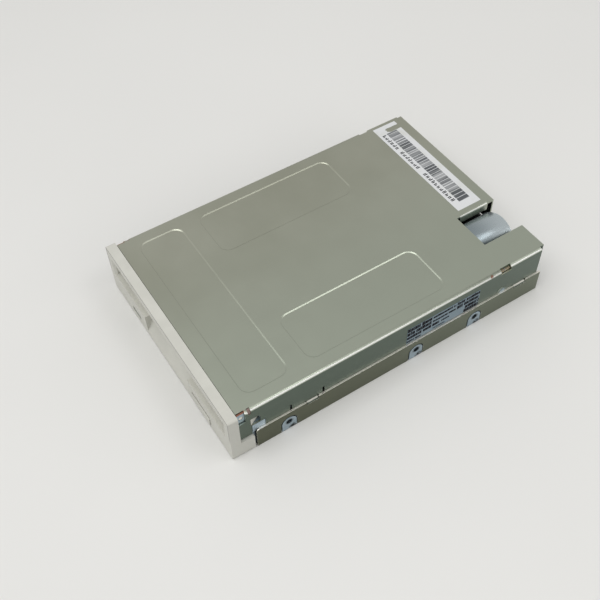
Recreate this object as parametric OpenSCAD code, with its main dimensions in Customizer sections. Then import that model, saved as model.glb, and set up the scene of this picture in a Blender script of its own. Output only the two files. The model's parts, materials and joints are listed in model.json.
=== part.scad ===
// Slim floppy disk drive for 90 mm disks: folded zinc covers, plastic bezel,
// spindle motor, head carriage on a lead screw, and a slide-and-carrier loading mechanism.
// Millimetres. +X is right when facing the bezel, -Y is the front, +Z is up.
// The origin is under the middle of the drive, on the plane it stands on.

/* [Overall] */
// Width across the bezel and the lower tray
drive_w = 101.6; // [101:0.2:106]
// Height of the bezel
drive_h = 25.4; // [25.2:0.2:28]
// Depth from the bezel face to the rear edge of the cover
drive_d = 150; // [149:0.5:160]

/* [Sheet metal] */
// Thickness of the cover and tray sheet
sheet_t = 0.6; // [0.4:0.05:0.8]
// Clearance between walls that nest in each other
nest_gap = 0.2; // [0.1:0.05:0.3]
// Height of the tray's side walls
tray_wall_h = 11; // [10:0.25:12]
// Outer radius of the cover's side bends
bend_r = 1.6; // [1:0.1:2]
// Depth of the panels pressed into the cover
emboss_d = 0.25; // [0.2:0.05:0.4]
// Inset of a panel from the cover's sides
panel_inset = 6.2; // [5:0.2:8]
// Width of each long panel
panel_w = 23.8; // [18:0.2:26]

/* [Bezel] */
// Depth of the bezel's rim
rim_d = 4.2; // [3.6:0.1:4.4]
// Thickness of the bezel's front wall
face_t = 2; // [1.6:0.1:2.2]
// Length of the skirt below and beside the bezel
skirt_d = 10; // [9:0.25:11]
// Height of the skirt at the sides
skirt_h = 8.3; // [7.5:0.1:8.6]
// Width of the disk mouth
mouth_w = 94; // [93:0.2:95]
// Height of the mouth's lower ledge
mouth_z = 11.5; // [11:0.1:11.8]
// Height of the mouth at the front
mouth_h = 9.6; // [8:0.1:10]
// Left end of the finger scoop
scoop_left = -19; // [-22:0.5:-16]
// Right end of the finger scoop
scoop_right = 17; // [14:0.25:17.5]
// Width of the eject button
button_w = 14; // [12:0.2:14.6]
// Height of the eject button
button_h = 4.2; // [3.6:0.1:4.6]
// Middle of the eject button across the drive
button_x = 27; // [26:0.25:29]
// How far the eject button stands out of the bezel
button_proud = 0.4; // [0.2:0.1:2]
// Width of the indicator lens
lens_w = 7; // [5:0.2:8]
// Height of the indicator lens
lens_h = 2.6; // [2:0.1:3]
// Middle of the indicator lens across the drive
lens_x = -28.5; // [-32:0.5:-25]

/* [Disk and loading] */
// Width of the disk that the drive takes
disk_w = 90; // [89:0.2:90.6]
// Thickness of that disk
disk_t = 3.3; // [3.2:0.05:3.5]
// Distance from the hub of the disk to its leading edge
disk_lead = 46.5; // [46:0.25:47]
// Travel of the slide plate and eject button
load_slide = 4.5; // [4:0.1:4.8]
// Drop of the disk carrier
load_drop = 3; // [2.6:0.1:3.2]
// Sheet thickness of the disk carrier
carrier_t = 0.8; // [0.6:0.05:0.9]
// Sheet thickness of the slide plate
slide_t = 0.7; // [0.6:0.05:0.8]
// Radius of the carrier pins
pin_r = 1.2; // [1:0.05:1.4]
// Length of the shutter lever from pivot to pin
lever_len = 24; // [22:0.25:24.5]
// Travel of the switch plungers
plunger_travel = 1.2; // [0.8:0.1:1.4]

/* [Spindle] */
// Distance of the spindle behind the bezel face
spindle_y = 52; // [51.5:0.25:53]
// Radius of the spindle shaft
shaft_r = 2; // [1.6:0.05:2.2]
// Radius of the hub table
hub_r = 12.5; // [11.5:0.1:13]
// Radius of the rotor cup
rotor_r = 23.6; // [22.5:0.1:24.2]
// Number of stator teeth
stator_teeth = 12; // [9:3:15]

/* [Heads and stepper] */
// Radius of the outermost track
track0_r = 39.5; // [39:0.1:40]
// Number of tracks
tracks = 80; // [70:1:82]
// Distance between tracks
track_pitch = 0.1875; // [0.18:0.0025:0.19]
// Angle of the raised upper head arm
arm_raise = 11.5; // [11:0.1:12]
// Radius of the guide rod
rod_r = 1.25; // [1:0.05:1.5]
// Radius of the stepper can
can_r = 9.9; // [9:0.1:10]
// Length of the stepper can
can_len = 17.5; // [15:0.25:17.8]
// Middle of the stepper across the drive
can_x = 26.3; // [26:0.1:27]
// Radius of the lead screw
screw_r = 1.5; // [1.2:0.05:1.8]

/* [Frame and mounting] */
// Height of the underside of the deck
deck_z = 6.2; // [6:0.05:6.4]
// Thickness of the deck
deck_t = 1.4; // [1.2:0.05:1.5]
// Thickness of the frame's side walls
frame_wall_t = 1; // [0.8:0.05:1.2]
// Distance of the first side hole behind the bezel face
hole_first = 25; // [24:0.25:26]
// Spacing from the first to the second side hole
hole_long = 60; // [58:0.5:61]
// Spacing from the second to the third side hole
hole_short = 30; // [29:0.5:31]
// Height of the side holes
hole_z = 5; // [4.8:0.05:5.2]
// Tap drill radius of the side holes
tap_r = 1.25; // [1:0.05:1.4]
// Depth of the side holes
tap_depth = 5.5; // [4:0.25:6]

/* [Boards] */
// Thickness of the circuit boards
board_t = 1; // [0.8:0.05:1.2]
// Columns of pins in the data header
header_cols = 17; // [15:1:17]
// Spacing of connector pins
pin_pitch = 2.54; // [2.5:0.01:2.56]
// Width of a square connector pin
pin_w = 0.64; // [0.5:0.02:0.7]

/* [Clearances] */
// Radial clearance of shafts and pivots that turn
run_fit = 0.05; // [0.03:0.01:0.08]
// Radial clearance of pieces pressed or screwed together
press_fit = 0.02; // [0.01:0.01:0.03]
// Clearance between pieces that move past each other
move_gap = 0.3; // [0.25:0.05:0.4]

/* [Hidden] */
$fn = 48;
hull_fn = 32;
eps = 0.01;
// How far a cut runs past the face it opens
over = 1;

// Where the bezel face lies in the drive's own frame
front_y = -(drive_d - button_proud) / 2;

// Nested walls, from the outside in, as half widths
tray_out = drive_w / 2;
tray_in = tray_out - sheet_t;
cover_out = tray_in - nest_gap;
cover_in = cover_out - sheet_t;
wall_out = cover_in - nest_gap;
wall_in = wall_out - frame_wall_t;
slide_out = wall_in - move_gap;
slide_in = slide_out - slide_t;

// Heights of the stack from the deck up
deck_top = deck_z + deck_t;
cover_top = drive_h - nest_gap;
cover_under = cover_top - sheet_t;
wall_top = drive_h - 4.4;
slide_z = deck_top + nest_gap;
slide_top = slide_z + slide_t;

// Disk carrier, lowered and raised
disk_play = 0.2;
carrier_in = disk_w / 2 + disk_play;
carrier_out = carrier_in + carrier_t;
carrier_h = disk_t + 1.1;
carrier_low = slide_top + 0.6;
carrier_z = carrier_low + load_drop;
carrier_floor = carrier_z + carrier_t;
carrier_roof = carrier_floor + carrier_h;
carrier_top = carrier_roof + carrier_t;
disk_rear = spindle_y + disk_lead;
carrier_rear = disk_rear - 0.5;
carrier_pin_z = (carrier_z + carrier_top) / 2;
carrier_pin_y = [spindle_y - 22, spindle_y + 28];
disk_low = carrier_low + carrier_t + 0.4;
hub_top = disk_low + 0.9;
media_z = disk_low + disk_t / 2;

// Heads and carriage
head_y = spindle_y + track0_r;
head_travel = (tracks - 1) * track_pitch;
head_half = 3;
stop_gap = 0.7;
clamp_d = 1.8;
clamp_front = disk_rear + stop_gap;
carriage_front = clamp_front + clamp_d + head_travel + move_gap;
carriage_d = 9.5;
carriage_rear = carriage_front + carriage_d;
hinge_y = carriage_front + 4.5;
hinge_z = media_z + 3.65;
rod_x = -14;
bush_r = rod_r + 1.15;
rod_z = deck_top + bush_r + 0.5;
clamp_rear = carriage_rear + 1.4;

// Stepper, lead screw and their bracket
bracket_t = 1;
bracket_front = disk_rear + 1;
can_front = clamp_rear + clamp_d + 1.2;
can_z = drive_h - can_r - 0.9;
can_rear = can_front + can_len;

// Door flap
flap_t = 1.2;
flap_gap = 0.4;
hinge_pin_r = 0.9;
flap_barrel_r = 1.4;
flap_y = rim_d + flap_gap + flap_barrel_r;
flap_z = drive_h - 3.2;
flap_w = mouth_w - 0.8;
flap_reach = norm([flap_barrel_r, flap_z - mouth_z - flap_gap]);
carrier_front = flap_y + sqrt(pow(flap_reach, 2) - pow(flap_z - carrier_top, 2)) + 0.45;

// Boards
board_standoff = 0.8;
board_gap = 5;
screw_edge = 4;
motor_board_z = deck_z - board_standoff - board_t;
motor_screw_x = rotor_r + 2.4;
motor_screw_y = rotor_r - 0.6;
motor_board_x = motor_screw_x + screw_edge;
motor_board_y = motor_screw_y + screw_edge;
front_board_z = motor_board_z;
main_board_z = motor_board_z - 2.2;
main_board_w = 2 * (wall_in - 4.2);
main_board_front = spindle_y + motor_board_y + board_gap;
main_board_rear = drive_d - 2.5;
deck_front = 14;
deck_rear = can_front + 3.5;

// Fasteners
screw_shank_r = 1;
screw_head_r = 1.9;
screw_head_h = 1;

hole_ys = [hole_first, hole_first + hole_long, hole_first + hole_long + hole_short];
boss_w = 6.4;
motor_screw_at = [for (x = [-1, 1], y = [-1, 1])
    [x * motor_screw_x, spindle_y + y * motor_screw_y]];
board_screw_x = main_board_w / 2 - 2.6;
board_screw_at = [for (x = [-1, 1], y = [main_board_front + 8, can_front - 2]) [x * board_screw_x, y]];
front_screw_at = [for (x = [-16, 16]) [x, deck_front + 3.5]];
bracket_screw_at = [for (y = [bracket_front + 8, can_front - 8]) [can_x + 4, y]];
switch_at = [[38, 11], [-38, 11], [-20, 11]];

// Draws in coordinates whose Y starts at the bezel face
module place() {
    translate([0, front_y, 0]) children();
}

// A block between two values on each axis
module block(x, y, z) {
    translate([x[0], y[0], z[0]]) cube([x[1] - x[0], y[1] - y[0], z[1] - z[0]]);
}

// A shape and its mirror image across the drive
module both_sides() {
    children();
    mirror([1, 0, 0]) children();
}

module rod_along_x(y, z, r, x) {
    translate([x[0], y, z]) rotate([0, 90, 0]) cylinder(r = r, h = x[1] - x[0]);
}

module rod_along_y(x, z, r, y) {
    translate([x, y[0], z]) rotate([-90, 0, 0]) cylinder(r = r, h = y[1] - y[0]);
}

module rod_along_z(at, r, z) {
    translate([at[0], at[1], z[0]]) cylinder(r = r, h = z[1] - z[0]);
}

// A profile in Y and Z, carried along X
module along_x(x) {
    translate([x[0], 0, 0]) rotate([90, 0, 90]) linear_extrude(x[1] - x[0]) children();
}

// A profile in X and Z, carried along Y
module along_y(y) {
    translate([0, y[1], 0]) rotate([90, 0, 0]) linear_extrude(y[1] - y[0]) children();
}

// A flat rectangle with round corners
module rounded(a, b, r) {
    translate([a[0] + r, b[0]]) square([a[1] - a[0] - 2 * r, b[1] - b[0]]);
    translate([a[0], b[0] + r]) square([a[1] - a[0], b[1] - b[0] - 2 * r]);
    for (i = [a[0] + r, a[1] - r], j = [b[0] + r, b[1] - r]) translate([i, j]) circle(r);
}

// A flat straight slot from one point to another
module stadium(from, to, r) {
    run = to - from;
    translate(from) circle(r);
    translate(to) circle(r);
    translate(from) rotate(atan2(run[1], run[0])) translate([0, -r]) square([norm(run), 2 * r]);
}

// Pan-head screws driven up from below, at each point, with heads under z
module screws_up(points, z, reach) {
    for (at = points) {
        rod_along_z(at, screw_shank_r, [z - eps, z + reach]);
        rod_along_z(at, screw_head_r, [z - screw_head_h, z]);
    }
}

// Pan-head screws driven down from above, at each point, with heads on z
module screws_down(points, z, reach) {
    for (at = points) {
        rod_along_z(at, screw_shank_r, [z - reach, z + eps]);
        rod_along_z(at, screw_head_r, [z, z + screw_head_h]);
    }
}

module screw_holes(points, z) {
    for (at = points) rod_along_z(at, screw_shank_r + press_fit, z);
}

// Casing
tray_front = skirt_d + 0.9;
tray_rear = drive_d - 0.4;
tray_corner_r = 1.2;
boss_cut_gap = 0.4;
boss_r = boss_w / 2;
boss_mid_z = hole_z - 0.6;
boss_low_z = nest_gap;
hook_ys = [[33.2, 38.2], [135, 141.2]];
hook_z = tray_wall_h - 1.4;
hook_h = 1;

module tray_wall_profile() {
    difference() {
        union() {
            translate([tray_front, 0]) square([tray_rear - tray_front, tray_wall_h - tray_corner_r]);
            translate([tray_front + tray_corner_r, 0])
                square([tray_rear - tray_front - tray_corner_r, tray_wall_h]);
            translate([tray_front + tray_corner_r, tray_wall_h - tray_corner_r]) circle(tray_corner_r);
        }
        for (y = hole_ys) stadium([y, -boss_w], [y, boss_mid_z], boss_r + boss_cut_gap);
        for (y = hook_ys)
            translate([y[0] - nest_gap, hook_z - nest_gap]) square([y[1] - y[0] + 2 * nest_gap, tray_wall_h]);
    }
}

module bottom_shield() {
    color("#6f6f60") place() {
        difference() {
            block([-tray_out, tray_out], [tray_front, tray_rear], [0, sheet_t]);
            both_sides() for (y = hole_ys)
                block([boss_in - boss_cut_gap, tray_out + over],
                    [y - boss_r - boss_cut_gap, y + boss_r + boss_cut_gap], [-over, sheet_t + over]);
        }
        both_sides() along_x([tray_in, tray_out]) tray_wall_profile();
    }
}

cover_front = rim_d + nest_gap;
cover_low = tray_wall_h - 1.6;
flange_rear = drive_d - 2;
rear_half = cover_out - bend_r;
rear_flange_z = 13;
notch_x = [can_x - can_r + 1, can_x + can_r - 1];
notch_lip_h = 4;
notch_lip_y = [can_front + 1.8, can_rear - 0.7];
notch_lip_r = 1.2;
panel_x = cover_out - panel_inset;
panel_front_y = [11, 31];
panel_long_y = [39, 104];
panel_r = 4.5;
panel_slope = 0.5;
slit_ys = [26.5, 41];
slit_w = 0.9;
slit_top = tray_wall_h + 3.3;
ear_cut = [[cover_front - over, 7.5], [drive_h - 6.2, drive_h + over]];
latch_y = [9.2, 13.5];
latch_z = [15, 19.3];
pad_y = [9.8, 15.3];
pad_z = [10.3, 14.7];
bend_cut_ys = [[8.7, 10], [126.5, 131.7]];
dimple_y = 129.2;
dimple_r = 2.7;

module cover_fold(half, top, r) {
    translate([-half, cover_low]) square([2 * half, top - r - cover_low]);
    translate([-half + r, cover_low]) square([2 * (half - r), top - cover_low]);
    for (x = [-half + r, half - r]) translate([x, top - r]) circle(r);
}

// A plate whose sides slope in towards its lower face
module pressing(x, y, z, grow) {
    hull($fn = hull_fn) {
        translate([0, 0, z[0]]) linear_extrude(eps)
            rounded(x + [panel_slope, -panel_slope] - [grow, -grow],
                y + [panel_slope, -panel_slope] - [grow, -grow], panel_r - panel_slope, $fn = hull_fn);
        translate([0, 0, z[1] - eps]) linear_extrude(eps)
            rounded(x - [grow, -grow], y - [grow, -grow], panel_r, $fn = hull_fn);
    }
}

module pressings(z, grow) {
    pressing([-panel_x, panel_x], panel_front_y, z, grow);
    pressing([-panel_x, -panel_x + panel_w], panel_long_y, z, grow);
    pressing([panel_x - panel_w, panel_x], panel_long_y, z, grow);
}

module cover_side_cuts() {
    side = [cover_in - over, cover_out + over];
    for (y = slit_ys) block(side, [y - slit_w / 2, y + slit_w / 2], [cover_low - over, slit_top]);
    block(side, ear_cut[0], ear_cut[1]);
    block(side, latch_y, latch_z);
    block(side, pad_y + [-nest_gap, nest_gap], [cover_low - over, pad_z[1] + nest_gap]);
    for (y = bend_cut_ys) block(side, y, [cover_top - 1.5 * bend_r, cover_top + over]);
    block(side, [cover_front - over, tray_front], [cover_low - over, max(cover_low, skirt_h + nest_gap)]);
}

// Lip folded down beside the stepper can
module notch_lip_profile() {
    bend = [notch_x[0] - notch_lip_r, cover_top - notch_lip_r];
    intersection() {
        translate(bend) difference() {
            circle(notch_lip_r);
            circle(notch_lip_r - sheet_t);
        }
        translate(bend - [eps, 0]) square(notch_lip_r + eps);
    }
    translate([notch_x[0] - sheet_t, cover_top - notch_lip_h])
        square([sheet_t, notch_lip_h - notch_lip_r + eps]);
}

module top_cover() {
    color("#92947f") place() {
        difference() {
            union() {
                along_y([cover_front, flange_rear]) difference() {
                    cover_fold(cover_out, cover_top, bend_r);
                    translate([0, -eps]) cover_fold(cover_in, cover_under, bend_r - sheet_t);
                }
                block([-rear_half, rear_half], [flange_rear - eps, drive_d], [cover_under, cover_top]);
                block([-rear_half, rear_half], [drive_d - sheet_t, drive_d], [rear_flange_z, cover_top]);
                pressings([cover_under - emboss_d, cover_under + eps], -sheet_t / 2);
            }
            pressings([cover_top - emboss_d, cover_top + eps], 0);
            block(notch_x, [can_front, drive_d + over], [rear_flange_z - over, drive_h]);
            block([notch_x[0] - notch_lip_r, notch_x[1]], notch_lip_y, [rear_flange_z, drive_h]);
            both_sides() cover_side_cuts();
        }
        along_y(notch_lip_y) notch_lip_profile();
        both_sides() {
            for (y = hook_ys) block([cover_in, tray_out - nest_gap / 2], y, [hook_z, hook_z + hook_h]);
            intersection() {
                rod_along_x(dimple_y, tray_wall_h, dimple_r, [cover_in, cover_out + 0.75 * nest_gap]);
                block([cover_in, tray_out], [dimple_y - dimple_r, dimple_y + dimple_r],
                    [tray_wall_h, drive_h]);
            }
        }
    }
}

// Bezel
skirt_t = 1.4;
rim_t = 1.6;
bezel_r = 1.2;
mouth_slope = 1.2;
mouth_flare = 1;
scoop_z = 2.6;
scoop_t = 1.4;
scoop_lip = 1;
button_gap = 0.3;
button_z = [skirt_t + 0.4, skirt_t + 0.4 + button_h];
lens_z = [3, 3 + lens_h];
lens_gap = 0.1;
latch_arm = [wall_in - 1.3, wall_in - nest_gap];
latch_tip = cover_out - 0.1;

module mouth_profile() {
    polygon([[-over, mouth_z], [rim_d + over, mouth_z], [rim_d + over, mouth_z + mouth_h - mouth_slope],
        [0, mouth_z + mouth_h], [-over, mouth_z + mouth_h]]);
}

// The mouth from above, flared at both ends of the bezel face
module mouth_plan() {
    half = mouth_w / 2;
    inner = half - mouth_flare;
    polygon([[-half, -over], [half, -over], [half, 0], [inner, mouth_flare], [inner, rim_d + over],
        [-inner, rim_d + over], [-inner, mouth_flare], [-half, 0]]);
}

// The hollow that a finger reaches into, sloping back towards the mouth
module scoop_profile() {
    polygon([[-over, scoop_z], [0, scoop_z], [rim_d, mouth_z - scoop_lip], [rim_d, mouth_z + over],
        [-over, mouth_z + over]]);
}

module scoop_shell_profile() {
    polygon([[face_t / 2, skirt_t], [face_t, skirt_t], [rim_d + scoop_t, mouth_z - 2 * scoop_lip],
        [rim_d + scoop_t, mouth_z], [face_t / 2, mouth_z]]);
}

// Snap arm beside the mouth whose wedge hooks through the frame and cover
module latch() {
    block(latch_arm, [face_t - eps, latch_y[1] - nest_gap], latch_z + [nest_gap, -nest_gap]);
    translate([0, 0, latch_z[0] + nest_gap]) linear_extrude(latch_z[1] - latch_z[0] - 2 * nest_gap)
        polygon([[latch_arm[1] - eps, latch_y[0] + nest_gap], [latch_tip, latch_y[0] + nest_gap],
            [latch_arm[1] - eps, latch_y[1] - nest_gap]]);
}

module bezel() {
    color("#c9c9c2") place() {
        difference() {
            union() {
                difference() {
                    along_y([0, rim_d]) rounded([-tray_out, tray_out], [0, drive_h], bezel_r);
                    block([-tray_out + rim_t, tray_out - rim_t], [face_t, rim_d + over],
                        [skirt_t, drive_h - rim_t]);
                }
                block([-tray_out, tray_out], [rim_d - eps, skirt_d], [bezel_r / 2, skirt_t]);
                block([-tray_out + bezel_r, tray_out - bezel_r], [rim_d - eps, skirt_d], [0, skirt_t]);
                both_sides() {
                    block([cover_in, tray_out], [rim_d - eps, skirt_d], [bezel_r / 2, skirt_h]);
                    latch();
                }
                block([-mouth_w / 2 - rim_t, mouth_w / 2 + rim_t], [face_t - eps, rim_d],
                    [mouth_z - rim_t, mouth_z + mouth_h + rim_t]);
                along_x([scoop_left - scoop_t, scoop_right + scoop_t]) scoop_shell_profile();
            }
            intersection() {
                along_x([-mouth_w / 2, mouth_w / 2]) mouth_profile();
                translate([0, 0, mouth_z]) linear_extrude(mouth_h) mouth_plan();
            }
            along_x([scoop_left, scoop_right]) scoop_profile();
            block([button_x - button_w / 2 - button_gap, button_x + button_w / 2 + button_gap],
                [-over, rim_d + scoop_t + over], button_z + [-button_gap, button_gap]);
            block([lens_x - lens_w / 2 - lens_gap, lens_x + lens_w / 2 + lens_gap],
                [-over, face_t + over], lens_z + [-lens_gap, lens_gap]);
        }
    }
}

lens_flange = 0.8;
lens_sunk = 0.2;
lens_rear = face_t + 1.4;

module indicator_lens() {
    color("#2e3b2c") place() {
        block([lens_x - lens_w / 2, lens_x + lens_w / 2], [lens_sunk, face_t + eps], lens_z);
        block([lens_x - lens_w / 2 - lens_flange, lens_x + lens_w / 2 + lens_flange],
            [face_t, lens_rear], lens_z + [-lens_flange, lens_flange]);
    }
}

// Frame
boss_in = wall_in - 3.7;
frame_rear = drive_d - 1.5;
ear_rear = 10.6;
ear_top = cover_under - max(0.4, bend_r - sheet_t - 0.4);
post_r = 2.4;
sleeve_r = shaft_r + 4;
flange_t = 1;
flange_r = sleeve_r + 4;
flange_top = deck_top + flange_t;
clamp_lug_d = 4;
clamp_lug_x = [rod_x - 8, rod_x - bush_r - 0.4];
clamp_screw_at = [for (y = [clamp_front, clamp_rear]) [rod_x - 5.4, y + clamp_lug_d / 2]];
spring_x = 31;
spring_r = 0.7;
spring_z = slide_top + 0.8;
spring_hook_r = 0.9;
spring_hook_y = spindle_y - 26;
spring_tab_y = spring_hook_y + 32;
spring_reach = spring_z + spring_r;
can_window = can_r + 0.8;
head_window_half = 8;
head_window = [head_y - head_travel - 2 * head_half, carriage_front - 4];
deck_window_w = 8;
deck_window_y = [spindle_y - 14, spindle_y + 20];
clamp_blind = 0.5;
screen_y = bend_cut_ys[1] + [-1, 1];

module frame_wall_profile() {
    difference() {
        polygon([[cover_front, skirt_t + nest_gap], [tray_front, skirt_t + nest_gap], [tray_front, sheet_t],
            [frame_rear, sheet_t], [frame_rear, wall_top], [screen_y[1], wall_top], [screen_y[1], ear_top],
            [screen_y[0], ear_top], [screen_y[0], wall_top], [ear_rear, wall_top], [ear_rear, ear_top],
            [cover_front, ear_top]]);
        translate([flap_y, flap_z]) circle(hinge_pin_r + run_fit);
        translate([latch_y[0], latch_z[0]]) square([latch_y[1] - latch_y[0], latch_z[1] - latch_z[0]]);
        for (y = carrier_pin_y)
            stadium([y, carrier_pin_z - load_drop], [y, carrier_pin_z], pin_r + move_gap / 2);
    }
}

// Tapped boss for a side mounting screw, reaching out through the tray
module side_boss(y) {
    block([boss_in, wall_in + eps], [y - boss_r, y + boss_r], [boss_low_z, deck_top]);
    along_x([wall_in, tray_out]) {
        translate([y, boss_mid_z]) circle(boss_r);
        translate([y - boss_r, boss_low_z]) square([boss_w, boss_mid_z - boss_low_z]);
    }
}

module tapped_holes() {
    both_sides() for (y = hole_ys) rod_along_x(y, hole_z, tap_r, [tray_out - tap_depth, tray_out + over]);
}

module deck() {
    through = [deck_z - over, deck_top + over];
    difference() {
        block([-wall_in - eps, wall_in + eps], [deck_front, deck_rear], [deck_z, deck_top]);
        rod_along_z([0, spindle_y], sleeve_r + press_fit, through);
        block([-head_window_half, head_window_half], head_window, through);
        block([can_x - can_window, can_x + can_window], [can_front, deck_rear + over], through);
        both_sides() block([slide_window, slide_window + deck_window_w], deck_window_y, through);
        screw_holes(bearing_screw_at, through);
        screw_holes(bracket_screw_at, through);
        screw_holes(concat(motor_screw_at, board_screw_at, front_screw_at), through);
    }
}

module posts(points, z) {
    difference() {
        for (at = points) rod_along_z(at, post_r, [z, deck_z + eps]);
        screw_holes(points, [z - over, deck_z + over]);
    }
}

// The half of a rod clamp between two heights
module clamp_half(z) {
    difference() {
        for (y = [clamp_front, clamp_rear]) {
            block([clamp_lug_x[0], rod_x + bush_r], [y, y + clamp_d], z);
            block(clamp_lug_x, [y, y + clamp_lug_d], z);
        }
        rod_along_y(rod_x, rod_z, rod_r + press_fit, [clamp_front - over, clamp_rear + clamp_d + over]);
        screw_holes(clamp_screw_at, [deck_top + clamp_blind, z[1] + over]);
    }
}

module main_frame() {
    color("#a3b3ba") place() difference() {
        union() {
            both_sides() {
                along_x([wall_in, wall_out]) frame_wall_profile();
                block([wall_out - eps, cover_out], pad_y, pad_z);
                for (y = hole_ys) side_boss(y);
                rod_along_z([spring_x, spring_hook_y], spring_hook_r, [deck_top - eps, spring_reach]);
            }
            deck();
            posts(motor_screw_at, motor_board_z + board_t);
            posts(front_screw_at, front_board_z + board_t);
            posts(board_screw_at, main_board_z + board_t);
            clamp_half([deck_top - eps, rod_z]);
        }
        tapped_holes();
    }
}

// Spindle motor, fixed parts
bearing_screw_r = sleeve_r + 2;
bearing_screw_at = [for (a = [90, 210, 330]) [0, spindle_y] + bearing_screw_r * [cos(a), sin(a)]];
motor_board_r = 3;
rotor_z = sheet_t + 0.5;
rotor_disc_t = 0.7;
rotor_top = rotor_z + rotor_disc_t;
rotor_rim_t = 0.8;
rotor_rim_z = motor_board_z - 0.4;
magnet_t = 2.8;
magnet_in = rotor_r - rotor_rim_t - magnet_t;
sleeve_z = rotor_top + 0.7;
stator_r = magnet_in - 0.8;
core_t = 1.2;
core_z = (rotor_top + motor_board_z) / 2 - core_t / 2 + 0.2;
tooth_w = 1.6;
tooth_tip = [1.2, 5.6];
tooth_root = 0.2;
ring_r = sleeve_r + 3;
coil = [stator_r - ring_r - 4.4, 3.6, 2];
coil_r = ring_r + 2;

module spindle_bearing() {
    color("#b09a5a") place() difference() {
        union() {
            rod_along_z([0, spindle_y], sleeve_r, [sleeve_z, deck_top + eps]);
            rod_along_z([0, spindle_y], flange_r, [deck_top, flange_top]);
        }
        rod_along_z([0, spindle_y], shaft_r + run_fit, [sleeve_z - over, flange_top + over]);
        screw_holes(bearing_screw_at, [deck_top - over, flange_top + over]);
    }
}

module bearing_screws() {
    color("#8f9598") place() screws_down(bearing_screw_at, flange_top, flange_t + deck_t);
}

module motor_board() {
    color("#2f5d3a") place() difference() {
        translate([0, 0, motor_board_z]) linear_extrude(board_t)
            rounded([-motor_board_x, motor_board_x], [spindle_y - motor_board_y, spindle_y + motor_board_y],
                motor_board_r);
        rod_along_z([0, spindle_y], sleeve_r + move_gap, [motor_board_z - over, deck_z]);
        screw_holes(motor_screw_at, [motor_board_z - over, deck_z]);
    }
}

module motor_board_screws() {
    color("#8f9598") place() {
        screws_up(motor_screw_at, motor_board_z, board_t + board_standoff + deck_t);
        screws_up(front_screw_at, front_board_z, board_t + board_standoff + deck_t);
    }
}

module stator_tooth(gap) {
    translate([ring_r - tooth_root, -tooth_w / 2 - gap, core_z - gap])
        cube([stator_r - ring_r - tooth_tip[0] / 2, tooth_w + 2 * gap, core_t + 2 * gap]);
}

module round_stator() {
    for (i = [0 : stator_teeth - 1]) translate([0, spindle_y, 0]) rotate(i * 360 / stator_teeth) children();
}

module stator_core() {
    color("#8a8d90") place() {
        difference() {
            rod_along_z([0, spindle_y], ring_r, [core_z, core_z + core_t]);
            rod_along_z([0, spindle_y], sleeve_r + press_fit, [core_z - over, core_z + core_t + over]);
        }
        round_stator() {
            stator_tooth(0);
            translate([stator_r - tooth_tip[0] - tooth_root, -tooth_tip[1] / 2, core_z])
                cube([tooth_tip[0], tooth_tip[1], core_t]);
        }
    }
}

module stator_coils() {
    color("#b0622d") place() round_stator() difference() {
        translate([coil_r, -coil[1] / 2, core_z + core_t / 2 - coil[2] / 2]) cube(coil);
        stator_tooth(press_fit);
    }
}

// Boards, switches and connectors
front_board_y = [8.6, deck_front + 6.5];
board_corner_r = 1.2;
led_r = 1.4;
led_half = 1.6;
led_lead = [0.4, 2, 0.4];
led_lead_x = 1.2;
switch_size = [5.2, 4.4, 3.8];
switch_z = front_board_z + board_t;
plunger_r = 1.1;
plunger_top = disk_low + plunger_travel - 0.1;
plunger_well = switch_z + 0.4;
header_w = (header_cols - 1) * pin_pitch + 4.6;
header_x = can_x - can_r - 0.9 - header_w / 2;
power_ways = 4;
power_w = (power_ways - 1) * pin_pitch + 4;
power_x = header_x - header_w / 2 - 1 - power_w / 2;
board_top = main_board_z + board_t;
// Chips: middle across, middle behind the board's front edge, width and depth
chips = [[-22, 18, 14, 14], [4, 22, 10, 16], [28, 20, 12, 8], [-26, 40, 8, 8]];
chip_h = 1.8;
plug_y = [drive_d - 11, drive_d - 0.4];
plug_wall = 1.1;
plug_base = 2.4;
header_h = 9;
power_h = 7;
header_rows = [for (s = [-1, 1]) board_top + header_h / 2 + s * pin_pitch / 2];
power_row = board_top + power_h / 2;
pin_tail = plug_y[0] - 2;
pin_recess = 2;
keyway_half = 2.2;
keyway_base = 2;

module front_switch_board() {
    color("#2f5d3a") place() difference() {
        translate([0, 0, front_board_z]) linear_extrude(board_t)
            rounded([-boss_in + screw_head_h, boss_in - screw_head_h], front_board_y, board_corner_r);
        screw_holes(front_screw_at, [front_board_z - over, deck_z]);
    }
}

module indicator_led() {
    color("#4d7a45") place() {
        rod_along_y(lens_x, lens_z[0] + lens_h / 2, led_r,
            [lens_rear + nest_gap, front_board_y[0] - led_r / 2]);
        block([lens_x - led_half, lens_x + led_half], [front_board_y[0] - led_r, front_board_y[0]],
            [lens_z[0] - nest_gap, switch_z + led_lead[2]]);
        for (side = [-1, 1])
            translate([lens_x + side * led_lead_x - led_lead[0] / 2, front_board_y[0] - eps, switch_z])
                cube(led_lead);
    }
}

module switch_bodies() {
    color("#26282a") place() for (at = switch_at) difference() {
        translate([at[0] - switch_size[0] / 2, at[1] - switch_size[1] / 2, switch_z]) cube(switch_size);
        rod_along_z(at, plunger_r + run_fit, [plunger_well, switch_z + switch_size[2] + over]);
    }
}

module main_board() {
    color("#2f5d3a") place() difference() {
        translate([0, 0, main_board_z]) linear_extrude(board_t)
            rounded([-main_board_w / 2, main_board_w / 2], [main_board_front, main_board_rear],
                board_corner_r);
        screw_holes(board_screw_at, [main_board_z - over, board_top + over]);
    }
}

module board_screws() {
    color("#8f9598") place() screws_up(board_screw_at, main_board_z, deck_top - main_board_z);
}

module board_chips() {
    color("#222427") place() for (c = chips)
        translate([c[0] - c[2] / 2, main_board_front + c[1] - c[3] / 2, board_top])
            cube([c[2], c[3], chip_h]);
}

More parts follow.
